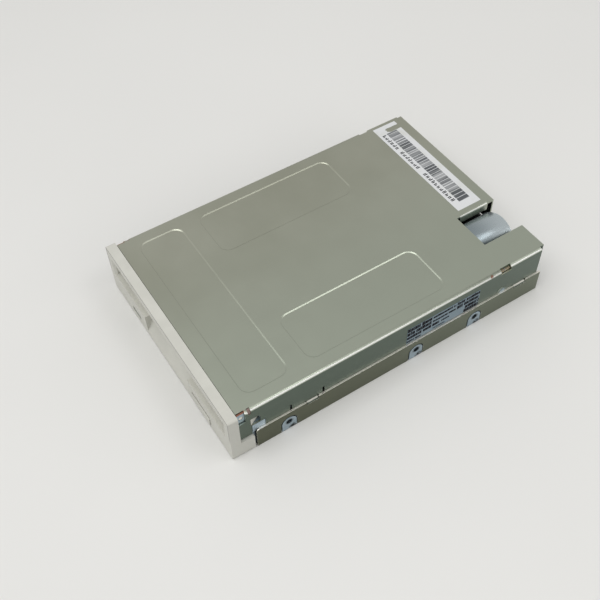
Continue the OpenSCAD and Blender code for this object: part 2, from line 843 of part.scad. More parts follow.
// Pins run back through the plug's base and turn down to the board
module plug_pins(x, z, tail, count) {
    for (i = [0 : count - 1]) translate([x + (i - (count - 1) / 2) * pin_pitch, 0, 0]) {
        block([-pin_w / 2, pin_w / 2], [tail, plug_y[1] - pin_recess], [z - pin_w / 2, z + pin_w / 2]);
        block([-pin_w / 2, pin_w / 2], [tail, tail + pin_w], [board_top, z]);
    }
}

module plug_body(x, w, h) {
    difference() {
        block([x - w / 2, x + w / 2], plug_y, [board_top, board_top + h]);
        block([x - w / 2 + plug_wall, x + w / 2 - plug_wall], [plug_y[0] + plug_base, drive_d],
            [board_top + plug_wall, board_top + h - plug_wall]);
        block([x - keyway_half, x + keyway_half], [plug_y[0] + plug_base + keyway_base, drive_d],
            [board_top + h / 2, board_top + h + over]);
        children();
    }
}

// Square passages for a row of pins
module pin_row(x, z, count) {
    for (i = [0 : count - 1]) translate([x + (i - (count - 1) / 2) * pin_pitch, plug_y[0] + plug_base / 2, z])
        cube([pin_w + 2 * press_fit, 2 * plug_base, pin_w + 2 * press_fit], center = true);
}

module data_header() {
    color("#1f2123") place() plug_body(header_x, header_w, header_h)
        for (z = header_rows) pin_row(header_x, z, header_cols);
}

module data_pins() {
    color("#c7a954") place() {
        plug_pins(header_x, header_rows[0], pin_tail, header_cols);
        plug_pins(header_x, header_rows[1], pin_tail - pin_pitch, header_cols);
    }
}

module power_connector() {
    color("#d9d5c6") place() plug_body(power_x, power_w, power_h) pin_row(power_x, power_row, power_ways);
}

module power_pins() {
    color("#c3c6c8") place() plug_pins(power_x, power_row, pin_tail, power_ways);
}

// Stepper, lead screw and guide rod
screw_seat = 3;
bracket_x = [can_x - 6, can_x + 6.4];
pivot_flange = 0.6;
pivot_r = screw_r - 0.5;
pivot_bush_r = screw_r + 0.7;
ear_half = pivot_bush_r + 1.4;
bracket_rear = bracket_front + bracket_t;
screw_front = bracket_rear + 1;
clamp_top = rod_z + rod_r + 1;
sensor_x = [rod_x - 17, rod_x - 10];
sensor_y = [carriage_front + 1.5, carriage_front + 8];
sensor_leg = 1.8;
sensor_mid = (sensor_x[0] + sensor_x[1]) / 2;
sensor_top = deck_top + 3.4;
flag_z = [sensor_top + 0.4, sensor_top + 1.2];
flag_t = 0.8;

module stepper_can() {
    rear_step = 1.2;
    rear_inset = 0.8;
    color("#c8ccd0") place() difference() {
        union() {
            rod_along_y(can_x, can_z, can_r, [can_front, can_rear - rear_step]);
            rod_along_y(can_x, can_z, can_r - rear_inset, [can_front + rear_step, can_rear]);
        }
        rod_along_y(can_x, can_z, screw_r + run_fit, [can_front - over, can_front + screw_seat + move_gap]);
    }
}

module stepper_bracket() {
    color("#aeb4b6") place() difference() {
        union() {
            block(bracket_x, [bracket_front, can_front], [deck_top, deck_top + bracket_t]);
            along_y([bracket_front, bracket_front + bracket_t]) {
                translate([can_x, can_z]) circle(ear_half);
                translate([can_x - ear_half, deck_top]) square([2 * ear_half, can_z - deck_top]);
            }
            along_y([can_front - bracket_t, can_front]) intersection() {
                translate([can_x, can_z]) circle(can_r - bracket_t / 2);
                translate([can_x - can_r, deck_top]) square(2 * can_r);
            }
        }
        rod_along_y(can_x, can_z, screw_r + bracket_t, [can_front - 2 * bracket_t, can_front + over]);
        rod_along_y(can_x, can_z, pivot_bush_r + press_fit,
            [bracket_front - over, bracket_front + 2 * bracket_t]);
        screw_holes(bracket_screw_at, [deck_top - over, deck_top + 2 * bracket_t]);
    }
}

module stepper_screws() {
    color("#8f9598") place() screws_down(bracket_screw_at, deck_top + bracket_t, bracket_t + deck_t);
}

module lead_screw_pivot() {
    color("#8a6f3a") place() difference() {
        union() {
            rod_along_y(can_x, can_z, pivot_bush_r, [bracket_front, bracket_rear + pivot_flange]);
            rod_along_y(can_x, can_z, pivot_bush_r + pivot_flange,
                [bracket_rear, bracket_rear + pivot_flange]);
        }
        rod_along_y(can_x, can_z, pivot_r + run_fit, [bracket_front - over, screw_front]);
    }
}

module lead_screw() {
    color("#9aa0a3") place() {
        rod_along_y(can_x, can_z, screw_r, [screw_front, can_front + screw_seat]);
        rod_along_y(can_x, can_z, pivot_r, [bracket_front, screw_front + eps]);
    }
}

module guide_rod() {
    color("#b9bec1") place() rod_along_y(rod_x, rod_z, rod_r, [clamp_front, clamp_rear + clamp_d]);
}

module rod_clamps() {
    color("#aeb4b6") place() clamp_half([rod_z, clamp_top]);
}

module rod_clamp_screws() {
    color("#8f9598") place()
        screws_down(clamp_screw_at, clamp_top, clamp_top - deck_top - clamp_blind - move_gap);
}

module track_sensor() {
    color("#26282a") place() difference() {
        block(sensor_x, sensor_y, [deck_top, sensor_top]);
        block(sensor_x + [sensor_leg, -sensor_leg], sensor_y + [-over, over],
            [deck_top + sensor_leg, sensor_top + over]);
    }
}

// Ribbon that rolls behind the carriage
module head_flex_cable() {
    strip = 0.2;
    loop_r = 2.5;
    start = carriage_rear + 3 * strip;
    across = [2, 12];
    loop_y = deck_rear - loop_r - 0.7;
    color("#a8762c") place() along_x(across) {
        intersection() {
            translate([loop_y, deck_top + loop_r]) difference() {
                circle(loop_r);
                circle(loop_r - strip);
            }
            translate([loop_y, deck_top]) square(2 * loop_r);
        }
        translate([start, deck_top]) square([loop_y - start, strip]);
        translate([carriage_rear, deck_top + 2 * loop_r - strip]) square([loop_y - carriage_rear, strip]);
    }
}

// Rotor and hub
hub_t = 1.2;
hub_neck_r = shaft_r + 2;
rotor_collar = 0.4;
centre_tip = 1.6;
drive_tip = 1.2;
magnet_sunk = 0.1;
hub_magnet_r = [5, 8.5];
hub_magnet_t = 0.6;
drive_pin_r = 1.2;
drive_pin_at = [hub_r - 2.1, spindle_y];

module tube_z(r, z) {
    difference() {
        rod_along_z([0, spindle_y], r[1], z);
        rod_along_z([0, spindle_y], r[0], z + [-over, over]);
    }
}

module rotor_cup() {
    color("#9ba1a4") place() difference() {
        union() {
            rod_along_z([0, spindle_y], rotor_r, [rotor_z, rotor_top]);
            tube_z([rotor_r - rotor_rim_t, rotor_r], [rotor_top - eps, rotor_rim_z]);
            rod_along_z([0, spindle_y], hub_neck_r, [rotor_top - eps, rotor_top + rotor_collar]);
        }
        rod_along_z([0, spindle_y], shaft_r + press_fit, [rotor_z - over, rotor_top + over]);
    }
}

module rotor_magnet() {
    color("#3a3632") place() tube_z([magnet_in, rotor_r - rotor_rim_t - press_fit], [rotor_top, rotor_rim_z]);
}

module spindle_shaft() {
    color("#c0c4c6") place() rod_along_z([0, spindle_y], shaft_r, [rotor_z, hub_top + centre_tip]);
}

module hub_table() {
    color("#b4b9bb") place() difference() {
        union() {
            rod_along_z([0, spindle_y], hub_r, [hub_top - hub_t, hub_top]);
            rod_along_z([0, spindle_y], hub_neck_r, [flange_top + nest_gap, hub_top - hub_t + eps]);
        }
        rod_along_z([0, spindle_y], shaft_r + press_fit, [deck_top, hub_top + over]);
        tube_z(hub_magnet_r + [-press_fit, press_fit], [hub_top - hub_magnet_t, hub_top + over]);
        rod_along_z(drive_pin_at, drive_pin_r + press_fit, [deck_top, hub_top + over]);
    }
}

module hub_magnet() {
    color("#4a4540") place() tube_z(hub_magnet_r, [hub_top - hub_magnet_t, hub_top - magnet_sunk]);
}

module drive_pin() {
    color("#c0c4c6") place() rod_along_z(drive_pin_at, drive_pin_r, [hub_top - hub_t, hub_top + drive_tip]);
}

// Slide plate and eject button
slide_front = latch_y[1] + load_slide + 0.7;
slide_rear = disk_rear - 2.5;
slide_window = spring_x + 3;
slide_wall_top = carrier_pin_z + pin_r + 1.6;
button_rear = face_t + load_slide + 0.2;
tongue_x = [button_x - 4, button_x + 4];
tab_x = [button_x - 2.5, button_x + 2.5];
tab_d = 3;
slide_bar = 5;
spring_tab_t = 1;
tongue_low = button_z[0] + 0.6;
button_r = 0.5;
tab_z = (button_z[0] + button_z[1]) / 2;

// Wall whose sloped slots push the carrier pins down as the plate slides forward
module slide_wall_profile() {
    difference() {
        translate([slide_front, slide_z]) square([slide_rear - slide_front, slide_wall_top - slide_z]);
        for (y = carrier_pin_y)
            stadium([y, carrier_pin_z], [y + load_slide, carrier_pin_z - load_drop], pin_r + move_gap / 2);
    }
}

module slide_plate() {
    color("#b6bcbe") place() {
        difference() {
            block([-slide_out, slide_out], [slide_front, slide_rear], [slide_z, slide_top]);
            block([-slide_window, slide_window], [slide_front + slide_bar, slide_rear + over],
                [slide_z - over, slide_top + over]);
        }
        both_sides() {
            along_x([slide_in, slide_out]) slide_wall_profile();
            block([spring_x - spring_hook_r, slide_window + eps], [spring_tab_y, spring_tab_y + spring_tab_t],
                [slide_z, spring_reach]);
        }
        block(tongue_x, [button_rear, slide_front + eps], [slide_z, slide_top]);
        block(tongue_x, [button_rear, button_rear + slide_t], [tongue_low, slide_top]);
        block(tab_x, [button_rear - tab_d, button_rear + eps], [tab_z - slide_t / 2, tab_z + slide_t / 2]);
    }
}

module eject_button() {
    color("#bdbeb8") place() difference() {
        along_y([-button_proud, button_rear])
            rounded([button_x - button_w / 2, button_x + button_w / 2], button_z, button_r);
        block(tab_x + [-press_fit, press_fit], [button_rear - tab_d - press_fit, button_rear + over],
            [tab_z - slide_t / 2 - press_fit, tab_z + slide_t / 2 + press_fit]);
    }
}

module slide_springs() {
    color("#9aa0a3") place() both_sides()
        rod_along_y(spring_x, spring_z, spring_r, [spring_hook_y + spring_hook_r + press_fit, spring_tab_y]);
}

// Disk carrier
carrier_lip = 6;
carrier_cut = 12;
carrier_cut_front = head_y - head_travel - 8;
pin_end = 0.1;
lifter_x = [-17, -13];
lifter_arm = load_drop / sin(arm_raise);
lifter_rear = hinge_y - lifter_arm + 2;
lever_at = [carrier_out - 6, disk_rear - 6.5];
lever_rest = 237;
lever_swing = 66;
lever_half = 2.5;
lever_t = 0.8;
lever_z = carrier_top + 0.1;
lever_pin_r = 1.1;
lever_slot_r = lever_pin_r + 0.4;
lever_slot_end_r = lever_slot_r + 0.1;
lever_pivot_r = 1.5;
lever_spring_h = 1.4;
lever_spring_gap = 0.1;
lever_cap_t = 0.6;
lever_cap_z = lever_z + lever_t + lever_spring_h + 0.2;
lever_pin_at = lever_at + lever_len * [cos(lever_rest), sin(lever_rest)];

module carrier_fold() {
    translate([-carrier_out, carrier_roof]) square([2 * carrier_out, carrier_t]);
    for (side = [0, 1]) mirror([side, 0]) {
        translate([carrier_in, carrier_z]) square([carrier_t, carrier_top - carrier_z]);
        translate([carrier_out - carrier_lip, carrier_z]) square([carrier_lip, carrier_t]);
    }
}

// Slot that lets the shutter lever's pin swing
module lever_slot() {
    slot_h = carrier_t + 2 * over;
    translate([lever_at[0], lever_at[1], carrier_roof - over]) {
        rotate(lever_rest - lever_swing) rotate_extrude(angle = lever_swing)
            translate([lever_len - lever_slot_r, 0]) square([2 * lever_slot_r, slot_h]);
        for (a = [lever_rest - lever_swing, lever_rest])
            translate(lever_len * [cos(a), sin(a), 0]) cylinder(r = lever_slot_end_r, h = slot_h);
    }
}

module disk_carrier() {
    color("#b9c0c3") place() difference() {
        union() {
            along_y([carrier_front, carrier_rear]) carrier_fold();
            block(lifter_x, [carrier_rear - eps, lifter_rear], [carrier_roof, carrier_top]);
        }
        block([-carrier_cut, carrier_cut], [carrier_cut_front, carrier_rear + over],
            [carrier_roof - over, carrier_top + over]);
        lever_slot();
        rod_along_z(lever_at, lever_pivot_r + press_fit, [carrier_roof - over, carrier_top + over]);
        for (y = carrier_pin_y) both_sides()
            rod_along_x(y, carrier_pin_z, pin_r + press_fit, [carrier_in - over, carrier_out + over]);
    }
}

module carrier_pins() {
    color("#c0c4c6") place() for (y = carrier_pin_y) both_sides()
        rod_along_x(y, carrier_pin_z, pin_r, [carrier_in, wall_out - pin_end]);
}

module lever_pivot() {
    color("#c0c4c6") place() {
        rod_along_z(lever_at, lever_pivot_r, [carrier_roof, lever_cap_z + eps]);
        rod_along_z(lever_at, lever_half + move_gap, [lever_cap_z, lever_cap_z + lever_cap_t]);
    }
}

module shutter_lever() {
    color("#a7adb0") place() difference() {
        union() {
            translate([0, 0, lever_z]) linear_extrude(lever_t) stadium(lever_at, lever_pin_at, lever_half);
            rod_along_z(lever_pin_at, lever_pin_r, [carrier_floor + carrier_t, lever_z + eps]);
        }
        rod_along_z(lever_at, lever_pivot_r + run_fit, [lever_z - over, lever_z + lever_t + over]);
    }
}

module lever_spring() {
    color("#8f9598") place() difference() {
        rod_along_z(lever_at, lever_half,
            [lever_z + lever_t + lever_spring_gap, lever_cap_z - lever_spring_gap]);
        rod_along_z(lever_at, lever_pivot_r + lever_spring_gap, [lever_z, lever_cap_z + over]);
    }
}

// Door flap behind the mouth
flap_spring_x = [-flap_w / 2, -flap_w / 2 + 6];
flap_spring_r = 1.5;
flap_spring_room = 2;
flap_spring_end = 0.5;
flap_spring_gap = 0.1;

module door_flap() {
    color("#b3b5ae") place() {
        difference() {
            union() {
                block([-flap_w / 2, flap_w / 2], [flap_y - flap_barrel_r, flap_y - flap_barrel_r + flap_t],
                    [mouth_z + flap_gap, flap_z]);
                rod_along_x(flap_y, flap_z, flap_barrel_r, [-flap_w / 2, flap_w / 2]);
            }
            block(flap_spring_x + [-over, 0], [flap_y - flap_spring_room, flap_y + flap_spring_room],
                [flap_z - flap_spring_room, flap_z + flap_spring_room]);
        }
        rod_along_x(flap_y, flap_z, hinge_pin_r, [-wall_out + pin_end, wall_out - pin_end]);
    }
}

module flap_spring() {
    color("#8f9598") place() difference() {
        rod_along_x(flap_y, flap_z, flap_spring_r, flap_spring_x + [flap_spring_end, -flap_spring_end]);
        rod_along_x(flap_y, flap_z, hinge_pin_r + flap_spring_gap, flap_spring_x);
    }
}

// Head carriage and upper head arm
carriage_half = 9;
carriage_low = deck_top + 1.2;
bush_web = 1.2;
ear_reach = 1.8;
leg_half = 3;
follower_half = 2;
follower_end = 0.6;
follower_pin_r = 0.7;
flag_drop = 1.5;
flag_y = [carriage_front + 3, carriage_front + 6.5];
carriage_top = hinge_z - 2;
lower_arm_z = [deck_top + 0.8, disk_low - 0.3];
media_gap = 0.05;
head_tip = head_y - 5.5;
arm_pivot_r = 0.8;
arm_barrel_r = 1.5;
arm_half = 7.3;
arm_tip_half = 5;
arm_z = [hinge_z - 1.4, hinge_z + 0.2];
arm_spring_half = 3;
arm_spring_gap = 0.1;
arm_root = 6;
lifter_z = hinge_z + 0.4;
arm_cut = 3;
ear_x = [arm_half + 0.3, carriage_half];
leg_low = rod_z - 0.5;
leg_top = carriage_top - 0.8;
leg_end = can_x - 6;
head_r = 2.2;
head_slider = 0.6;
lifter_r = 0.6;

module head_carriage() {
    color("#2b2d30") place() difference() {
        union() {
            block([-carriage_half, carriage_half], [carriage_front, carriage_rear],
                [carriage_low, carriage_top]);
            rod_along_y(rod_x, rod_z, bush_r, [carriage_front, carriage_rear]);
            block([rod_x, -carriage_half + eps], [carriage_front, carriage_rear],
                [rod_z - bush_web, rod_z + bush_web]);
            block([-head_half * 2, head_half * 2], [head_tip, carriage_front + eps], lower_arm_z);
            both_sides() block(ear_x, [hinge_y - ear_reach, hinge_y + ear_reach],
                [carriage_top - eps, hinge_z + ear_reach]);
            block([carriage_half - eps, leg_end], [hinge_y - leg_half, hinge_y + leg_half],
                [leg_low, leg_top]);
            block([sensor_mid - flag_t / 2, rod_x], flag_y, flag_z);
            block([sensor_mid - flag_t / 2, sensor_mid + flag_t / 2], flag_y,
                [flag_z[0] - flag_drop, flag_z[1]]);
        }
        rod_along_y(rod_x, rod_z, rod_r + run_fit, [carriage_front - over, carriage_rear + over]);
        rod_along_x(hinge_y, hinge_z, arm_pivot_r + press_fit, [-carriage_half - over, carriage_half + over]);
    }
}

module lower_head() {
    color("#d8d4c8") place() {
        block([-head_half, head_half], [head_y - head_half, head_y + head_half],
            [lower_arm_z[1], media_z - media_gap - head_slider]);
        rod_along_z([0, head_y], head_r, [media_z - media_gap - head_slider - eps, media_z - media_gap]);
    }
}

// Spring arm that rides in the groove of the lead screw
module screw_follower() {
    follower_t = 0.8;
    tip = leg_end + follower_end;
    width = [hinge_y - follower_half, hinge_y + follower_half];
    color("#b6bcbe") place() {
        block([carriage_half + leg_half, tip], width, [leg_top, leg_top + follower_t]);
        block([tip - follower_t, tip], width, [leg_top, can_z + follower_pin_r + move_gap]);
        rod_along_x(hinge_y, can_z, follower_pin_r, [tip - eps, can_x - screw_r - pin_end]);
    }
}

module arm_pivot() {
    color("#c0c4c6") place() rod_along_x(hinge_y, hinge_z, arm_pivot_r, [-carriage_half, carriage_half]);
}

// Tilts a shape up about the head arm's hinge, to where it waits without a disk
module raised() {
    translate([0, hinge_y, hinge_z]) rotate([-arm_raise, 0, 0]) translate([0, -hinge_y, -hinge_z]) children();
}

module head_arm() {
    color("#34373a") place() raised() difference() {
        union() {
            translate([0, 0, arm_z[0]]) linear_extrude(arm_z[1] - arm_z[0])
                polygon([[-arm_half, hinge_y], [-arm_half, hinge_y - arm_root], [-arm_tip_half, head_tip],
                    [arm_tip_half, head_tip], [arm_half, hinge_y - arm_root], [arm_half, hinge_y]]);
            rod_along_x(hinge_y, hinge_z, arm_barrel_r, [-arm_half, arm_half]);
            rod_along_x(hinge_y - lifter_arm, lifter_z, lifter_r, [lifter_x[0] + move_gap, 0]);
        }
        rod_along_x(hinge_y, hinge_z, arm_pivot_r + run_fit, [-arm_half - over, arm_half + over]);
        block([-arm_spring_half, arm_spring_half], [hinge_y - arm_cut, hinge_y + arm_cut],
            [hinge_z - arm_cut, hinge_z + arm_cut]);
    }
}

module upper_head() {
    color("#d8d4c8") place() raised() {
        block([-head_half, head_half], [head_y - head_half, head_y + head_half],
            [media_z + 2 * media_gap + head_slider, arm_z[0]]);
        rod_along_z([0, head_y], head_r,
            [media_z + 2 * media_gap, media_z + 2 * media_gap + head_slider + eps]);
    }
}

module arm_spring() {
    color("#8f9598") place() difference() {
        rod_along_x(hinge_y, hinge_z, arm_barrel_r, arm_spring_half * [-1, 1] + [move_gap, -move_gap]);
        rod_along_x(hinge_y, hinge_z, arm_pivot_r + arm_spring_gap, arm_spring_half * [-1, 1]);
    }
}

// Switch plungers
module plunger(at) {
    tip = 0.6;
    color("#d6d2c4") place() {
        rod_along_z(at, plunger_r, [plunger_well + plunger_travel + move_gap, plunger_top - tip + eps]);
        translate([at[0], at[1], plunger_top - tip]) cylinder(r1 = plunger_r, r2 = plunger_r / 2, h = tip);
    }
}

module write_protect_plunger() {
    plunger(switch_at[0]);
}

module density_plunger() {
    plunger(switch_at[1]);
}

module disk_in_plunger() {
    plunger(switch_at[2]);
}

main_frame();
bottom_shield();
top_cover();
bezel();
indicator_lens();
front_switch_board();
indicator_led();
switch_bodies();
spindle_bearing();
bearing_screws();
motor_board();
motor_board_screws();
stator_core();
stator_coils();
main_board();
board_screws();
board_chips();
data_header();
data_pins();
power_connector();
power_pins();
stepper_can();
stepper_bracket();
stepper_screws();
lead_screw_pivot();
guide_rod();
rod_clamps();
rod_clamp_screws();
track_sensor();
head_flex_cable();
slide_springs();
rotor_cup();
rotor_magnet();
spindle_shaft();
hub_table();
hub_magnet();
drive_pin();
slide_plate();
eject_button();
disk_carrier();
carrier_pins();
lever_pivot();
shutter_lever();
lever_spring();
door_flap();
flap_spring();
head_carriage();
lower_head();
screw_follower();
arm_pivot();
head_arm();
upper_head();
arm_spring();
lead_screw();
write_protect_plunger();
density_plunger();
disk_in_plunger();
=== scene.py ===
"""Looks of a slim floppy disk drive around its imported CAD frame. Blender units are metres."""

import json
import math
import random

import bpy
from mathutils import Matrix, Vector


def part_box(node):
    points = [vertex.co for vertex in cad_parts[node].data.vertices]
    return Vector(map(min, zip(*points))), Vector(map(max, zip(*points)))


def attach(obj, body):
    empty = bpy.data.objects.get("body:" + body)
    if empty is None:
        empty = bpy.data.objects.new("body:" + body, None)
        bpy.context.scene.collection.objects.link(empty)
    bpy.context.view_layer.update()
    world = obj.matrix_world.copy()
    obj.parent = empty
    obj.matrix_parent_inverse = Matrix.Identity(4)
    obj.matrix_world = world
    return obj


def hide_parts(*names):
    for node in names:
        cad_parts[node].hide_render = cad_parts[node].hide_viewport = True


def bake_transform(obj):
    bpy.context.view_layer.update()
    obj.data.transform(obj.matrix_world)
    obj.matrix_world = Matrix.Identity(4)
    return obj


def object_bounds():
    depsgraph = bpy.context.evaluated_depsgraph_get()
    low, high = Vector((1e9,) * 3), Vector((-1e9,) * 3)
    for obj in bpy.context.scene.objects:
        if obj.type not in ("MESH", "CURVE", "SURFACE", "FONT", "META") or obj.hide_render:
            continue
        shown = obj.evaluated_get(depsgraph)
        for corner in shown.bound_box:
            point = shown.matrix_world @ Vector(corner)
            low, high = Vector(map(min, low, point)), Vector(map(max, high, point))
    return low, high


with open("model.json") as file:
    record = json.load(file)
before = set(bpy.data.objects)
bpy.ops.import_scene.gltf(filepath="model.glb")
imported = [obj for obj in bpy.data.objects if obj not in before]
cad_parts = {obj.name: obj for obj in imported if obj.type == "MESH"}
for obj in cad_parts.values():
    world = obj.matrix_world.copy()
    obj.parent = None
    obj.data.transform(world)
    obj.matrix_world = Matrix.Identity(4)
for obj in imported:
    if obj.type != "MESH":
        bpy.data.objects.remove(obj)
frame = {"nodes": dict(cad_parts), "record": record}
cad_low, cad_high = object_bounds()

MM = 0.001
FRONT_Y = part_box("bezel")[0].y

# Faces of the casing, in millimetres
COVER_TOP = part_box("top_cover")[1].z / MM
COVER_SIDE = 50.0
EAR_FACE = 49.2
BOSS_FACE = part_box("main_frame")[1].x / MM


def spot(x, y, z):
    """A point from millimetres: x across, y behind the bezel face, z up."""
    return Vector((x * MM, FRONT_Y + y * MM, z * MM))


# Materials

# Share of a stain's reach that keeps the full colour
STAIN_CORE = 0.4
# How far roughness goes below and above its middle value
RUB = (0.08, 0.1)


class Paint:
    """One procedural material: a Principled shader and the nodes that feed it."""

    def __init__(self, name, **constants):
        self.material = bpy.data.materials.new(name)
        self.material.use_nodes = True
        self.tree = self.material.node_tree
        self.shader = self.tree.nodes["Principled BSDF"]
        for socket, value in constants.items():
            self.shader.inputs[socket.replace("_", " ")].default_value = value
        coordinates = self.add("ShaderNodeTexCoord")
        self.place = coordinates.outputs["Object"]
        self.normal = coordinates.outputs["Normal"]

    def add(self, kind, **settings):
        """A new node with its settings."""
        node = self.tree.nodes.new(kind)
        for key, value in settings.items():
            setattr(node, key, value)
        return node

    def feed(self, socket, value):
        """Links an output to a socket, or sets a plain value on it."""
        if isinstance(value, bpy.types.NodeSocket):
            self.tree.links.new(value, socket)
        else:
            socket.default_value = value

    def math(self, operation, first, second=0.0):
        """A sum, product or other operation on one or two values."""
        node = self.add("ShaderNodeMath", operation=operation)
        self.feed(node.inputs[0], first)
        self.feed(node.inputs[1], second)
        return node.outputs[0]

    def axis(self, index, vector):
        """One coordinate of a vector."""
        node = self.add("ShaderNodeSeparateXYZ")
        self.feed(node.inputs[0], vector)
        return node.outputs[index]

    def sideways(self):
        """How far the surface faces left or right, from 0 to 1."""
        return self.math("ABSOLUTE", self.axis(0, self.normal))

    def outward(self):
        """Distance from the drive's middle plane."""
        return self.math("ABSOLUTE", self.axis(0, self.place))

    def near(self, point, reach):
        """1 about a point in millimetres, fading to 0 at that distance."""
        node = self.add("ShaderNodeVectorMath", operation="DISTANCE")
        self.feed(node.inputs[0], self.place)
        node.inputs[1].default_value = spot(*point)
        away = self.between(node.outputs["Value"], STAIN_CORE * reach * MM, reach * MM)
        return self.math("SUBTRACT", 1.0, away)

    def stretched(self, stretch, turn=0.0):
        """Object coordinates scaled on each axis and turned about Z."""
        node = self.add("ShaderNodeMapping")
        self.feed(node.inputs["Vector"], self.place)
        node.inputs["Scale"].default_value = stretch
        node.inputs["Rotation"].default_value = (0, 0, turn)
        return node.outputs[0]

    def noise(self, size, detail=3.0, stretch=(1, 1, 1), turn=0.0):
        """Soft noise whose patches are about size millimetres across."""
        node = self.add("ShaderNodeTexNoise")
        self.feed(node.inputs["Vector"], self.stretched(stretch, turn))
        node.inputs["Scale"].default_value = 1 / (size * MM)
        node.inputs["Detail"].default_value = detail
        return node.outputs["Fac"]

    def cells(self, size):
        """Distance from the middle of cells that are about size millimetres across."""
        node = self.add("ShaderNodeTexVoronoi")
        self.feed(node.inputs["Vector"], self.place)
        node.inputs["Scale"].default_value = 1 / (size * MM)
        return node.outputs["Distance"]

    def between(self, value, low, high):
        """0 below low, 1 above high, smooth in between."""
        node = self.add("ShaderNodeMapRange", interpolation_type="SMOOTHSTEP")
        self.feed(node.inputs["Value"], value)
        node.inputs["From Min"].default_value = low
        node.inputs["From Max"].default_value = high
        return node.outputs[0]

    def spread(self, value, low, high):
        """A 0 to 1 value carried to the range from low to high."""
        node = self.add("ShaderNodeMapRange")
        self.feed(node.inputs["Value"], value)
        node.inputs["To Min"].default_value = low
        node.inputs["To Max"].default_value = high
        return node.outputs[0]

    def blend(self, amount, first, second):
        """First colour at 0, second at 1."""
        node = self.add("ShaderNodeMix", data_type="RGBA")
        self.feed(node.inputs["Factor"], amount)
        self.feed(node.inputs[6], first)
        self.feed(node.inputs[7], second)
        return node.outputs[2]

    def colour(self, value):
        self.feed(self.shader.inputs["Base Color"], value)

    def roughness(self, value):
        self.feed(self.shader.inputs["Roughness"], value)

    def rubbed(self, marks, rough):
        """Roughness about a middle value, following marks."""
        self.roughness(self.spread(marks, rough - RUB[0], rough + RUB[1]))

    def bump(self, height, depth):
        """Relief whose full height is depth millimetres."""
        node = self.add("ShaderNodeBump")
        node.inputs["Distance"].default_value = depth * MM
        self.feed(node.inputs["Height"], height)
        self.feed(self.shader.inputs["Normal"], node.outputs[0])


def rgb(red, green, blue):
    """A linear colour from sRGB values of 0 to 255."""
    def straighten(value):
        share = value / 255
        return share / 12.92 if share <= 0.04045 else ((share + 0.055) / 1.055) ** 2.4
    return (straighten(red), straighten(green), straighten(blue), 1.0)


def scaled(colour, share):
    """A colour made darker or lighter, up to white."""
    return tuple(min(1.0, share * part) for part in colour[:3]) + (1.0,)


RUST = rgb(146, 98, 78)
# Tarnish, made lighter as painted light where it lies in shade in the cover's notch
TARNISH_AND_PAINTED_LIGHT = rgb(192, 172, 142)
PALE_ZINC = rgb(150, 168, 178)
# Near black, painted as shadow in slits, holes and at the bosses' feet
PAINTED_SHADOW = rgb(34, 34, 30)
# Bare steel, near white as a painted highlight on sheared edges, burrs and hook tops
BARE_STEEL_AND_HIGHLIGHT = rgb(248, 244, 236)
# Near white tone painted along the bends as a highlight
PAINTED_BEND_HIGHLIGHT = rgb(248, 249, 245)


def stained(paint, tone, stains):
    """Patches of rust, tarnish, pale zinc or painted shadow about points, each given with its reach in
    millimetres and its colour.
    """
    mottle = paint.between(paint.noise(size=0.7), 0.3, 0.55)
    for point, reach, colour in stains:
        tone = paint.blend(paint.math("MULTIPLY", paint.near(point, reach), mottle), tone, colour)
    return tone


# The side walls' painted shade sets in between these distances from the middle plane, in millimetres
WALL_X = (46, 47)
# Height in millimetres over which a sheared edge's tone fades
SHEAR_FADE = 0.1
# How far a surface faces sideways on walls with painted shade and in the bend's band of painted highlight,
# and upwards on sheared edges, from 0 to 1
WALL_FACING = (0.85, 0.99)
BEND_BEGINS = (0.5, 0.64)
BEND_ENDS = (0.76, 0.9)
EDGE_FACING = (0.2, 0.6)
# Scratches: length and width in millimetres, turn in radians
SCRATCHES = [(60, 0.35, 0.5), (40, 0.3, -1.0)]
# How many scratches there are, how soft their sides, how strong their tone and how much brighter it is
SCRATCH_SHARE = 0.2
SCRATCH_EDGE = 0.06
SCRATCH_TONE = 0.3
SCRATCH_GAIN = 1.25
# How far smudges lower and raise the roughness, what bends add to it, and the grain's share of the relief
SMUDGE = (0.06, 0.08)
BEND_DULL = 0.14
GRAIN_RELIEF = 0.12


def scratches(paint, length, width, turn):
    """Fine lines of about that length and width."""
    lines = paint.noise(width, 1.0, (1, width / length, 1), turn)
    return paint.between(lines, 1 - SCRATCH_SHARE, 1 - SCRATCH_SHARE + SCRATCH_EDGE)


def wall_shade_mask(paint):
    """1 on the upright walls at the drive's sides, where shade is painted."""
    outside = paint.between(paint.outward(), WALL_X[0] * MM, WALL_X[1] * MM)
    return paint.math("MULTIPLY", paint.between(paint.sideways(), *WALL_FACING), outside)


def bend_highlight_mask(paint):
    """1 in the middle of the turn from facing up to facing sideways, where the bend's highlight is painted.
    """
    sideways = paint.sideways()
    begun = paint.between(sideways, *BEND_BEGINS)
    return paint.math("SUBTRACT", begun, paint.between(sideways, *BEND_ENDS))


def shear_mask(paint, low, high):
    """1 on edges that face up between two heights in millimetres: bare sheared edges, made bright as a
    painted highlight.
    """
    height = paint.axis(2, paint.place)
    above = paint.between(height, (low - SHEAR_FADE) * MM, low * MM)
    over = paint.between(height, high * MM, (high + SHEAR_FADE) * MM)
    upward = paint.between(paint.axis(2, paint.normal), *EDGE_FACING)
    return paint.math("MULTIPLY", paint.math("SUBTRACT", above, over), upward)


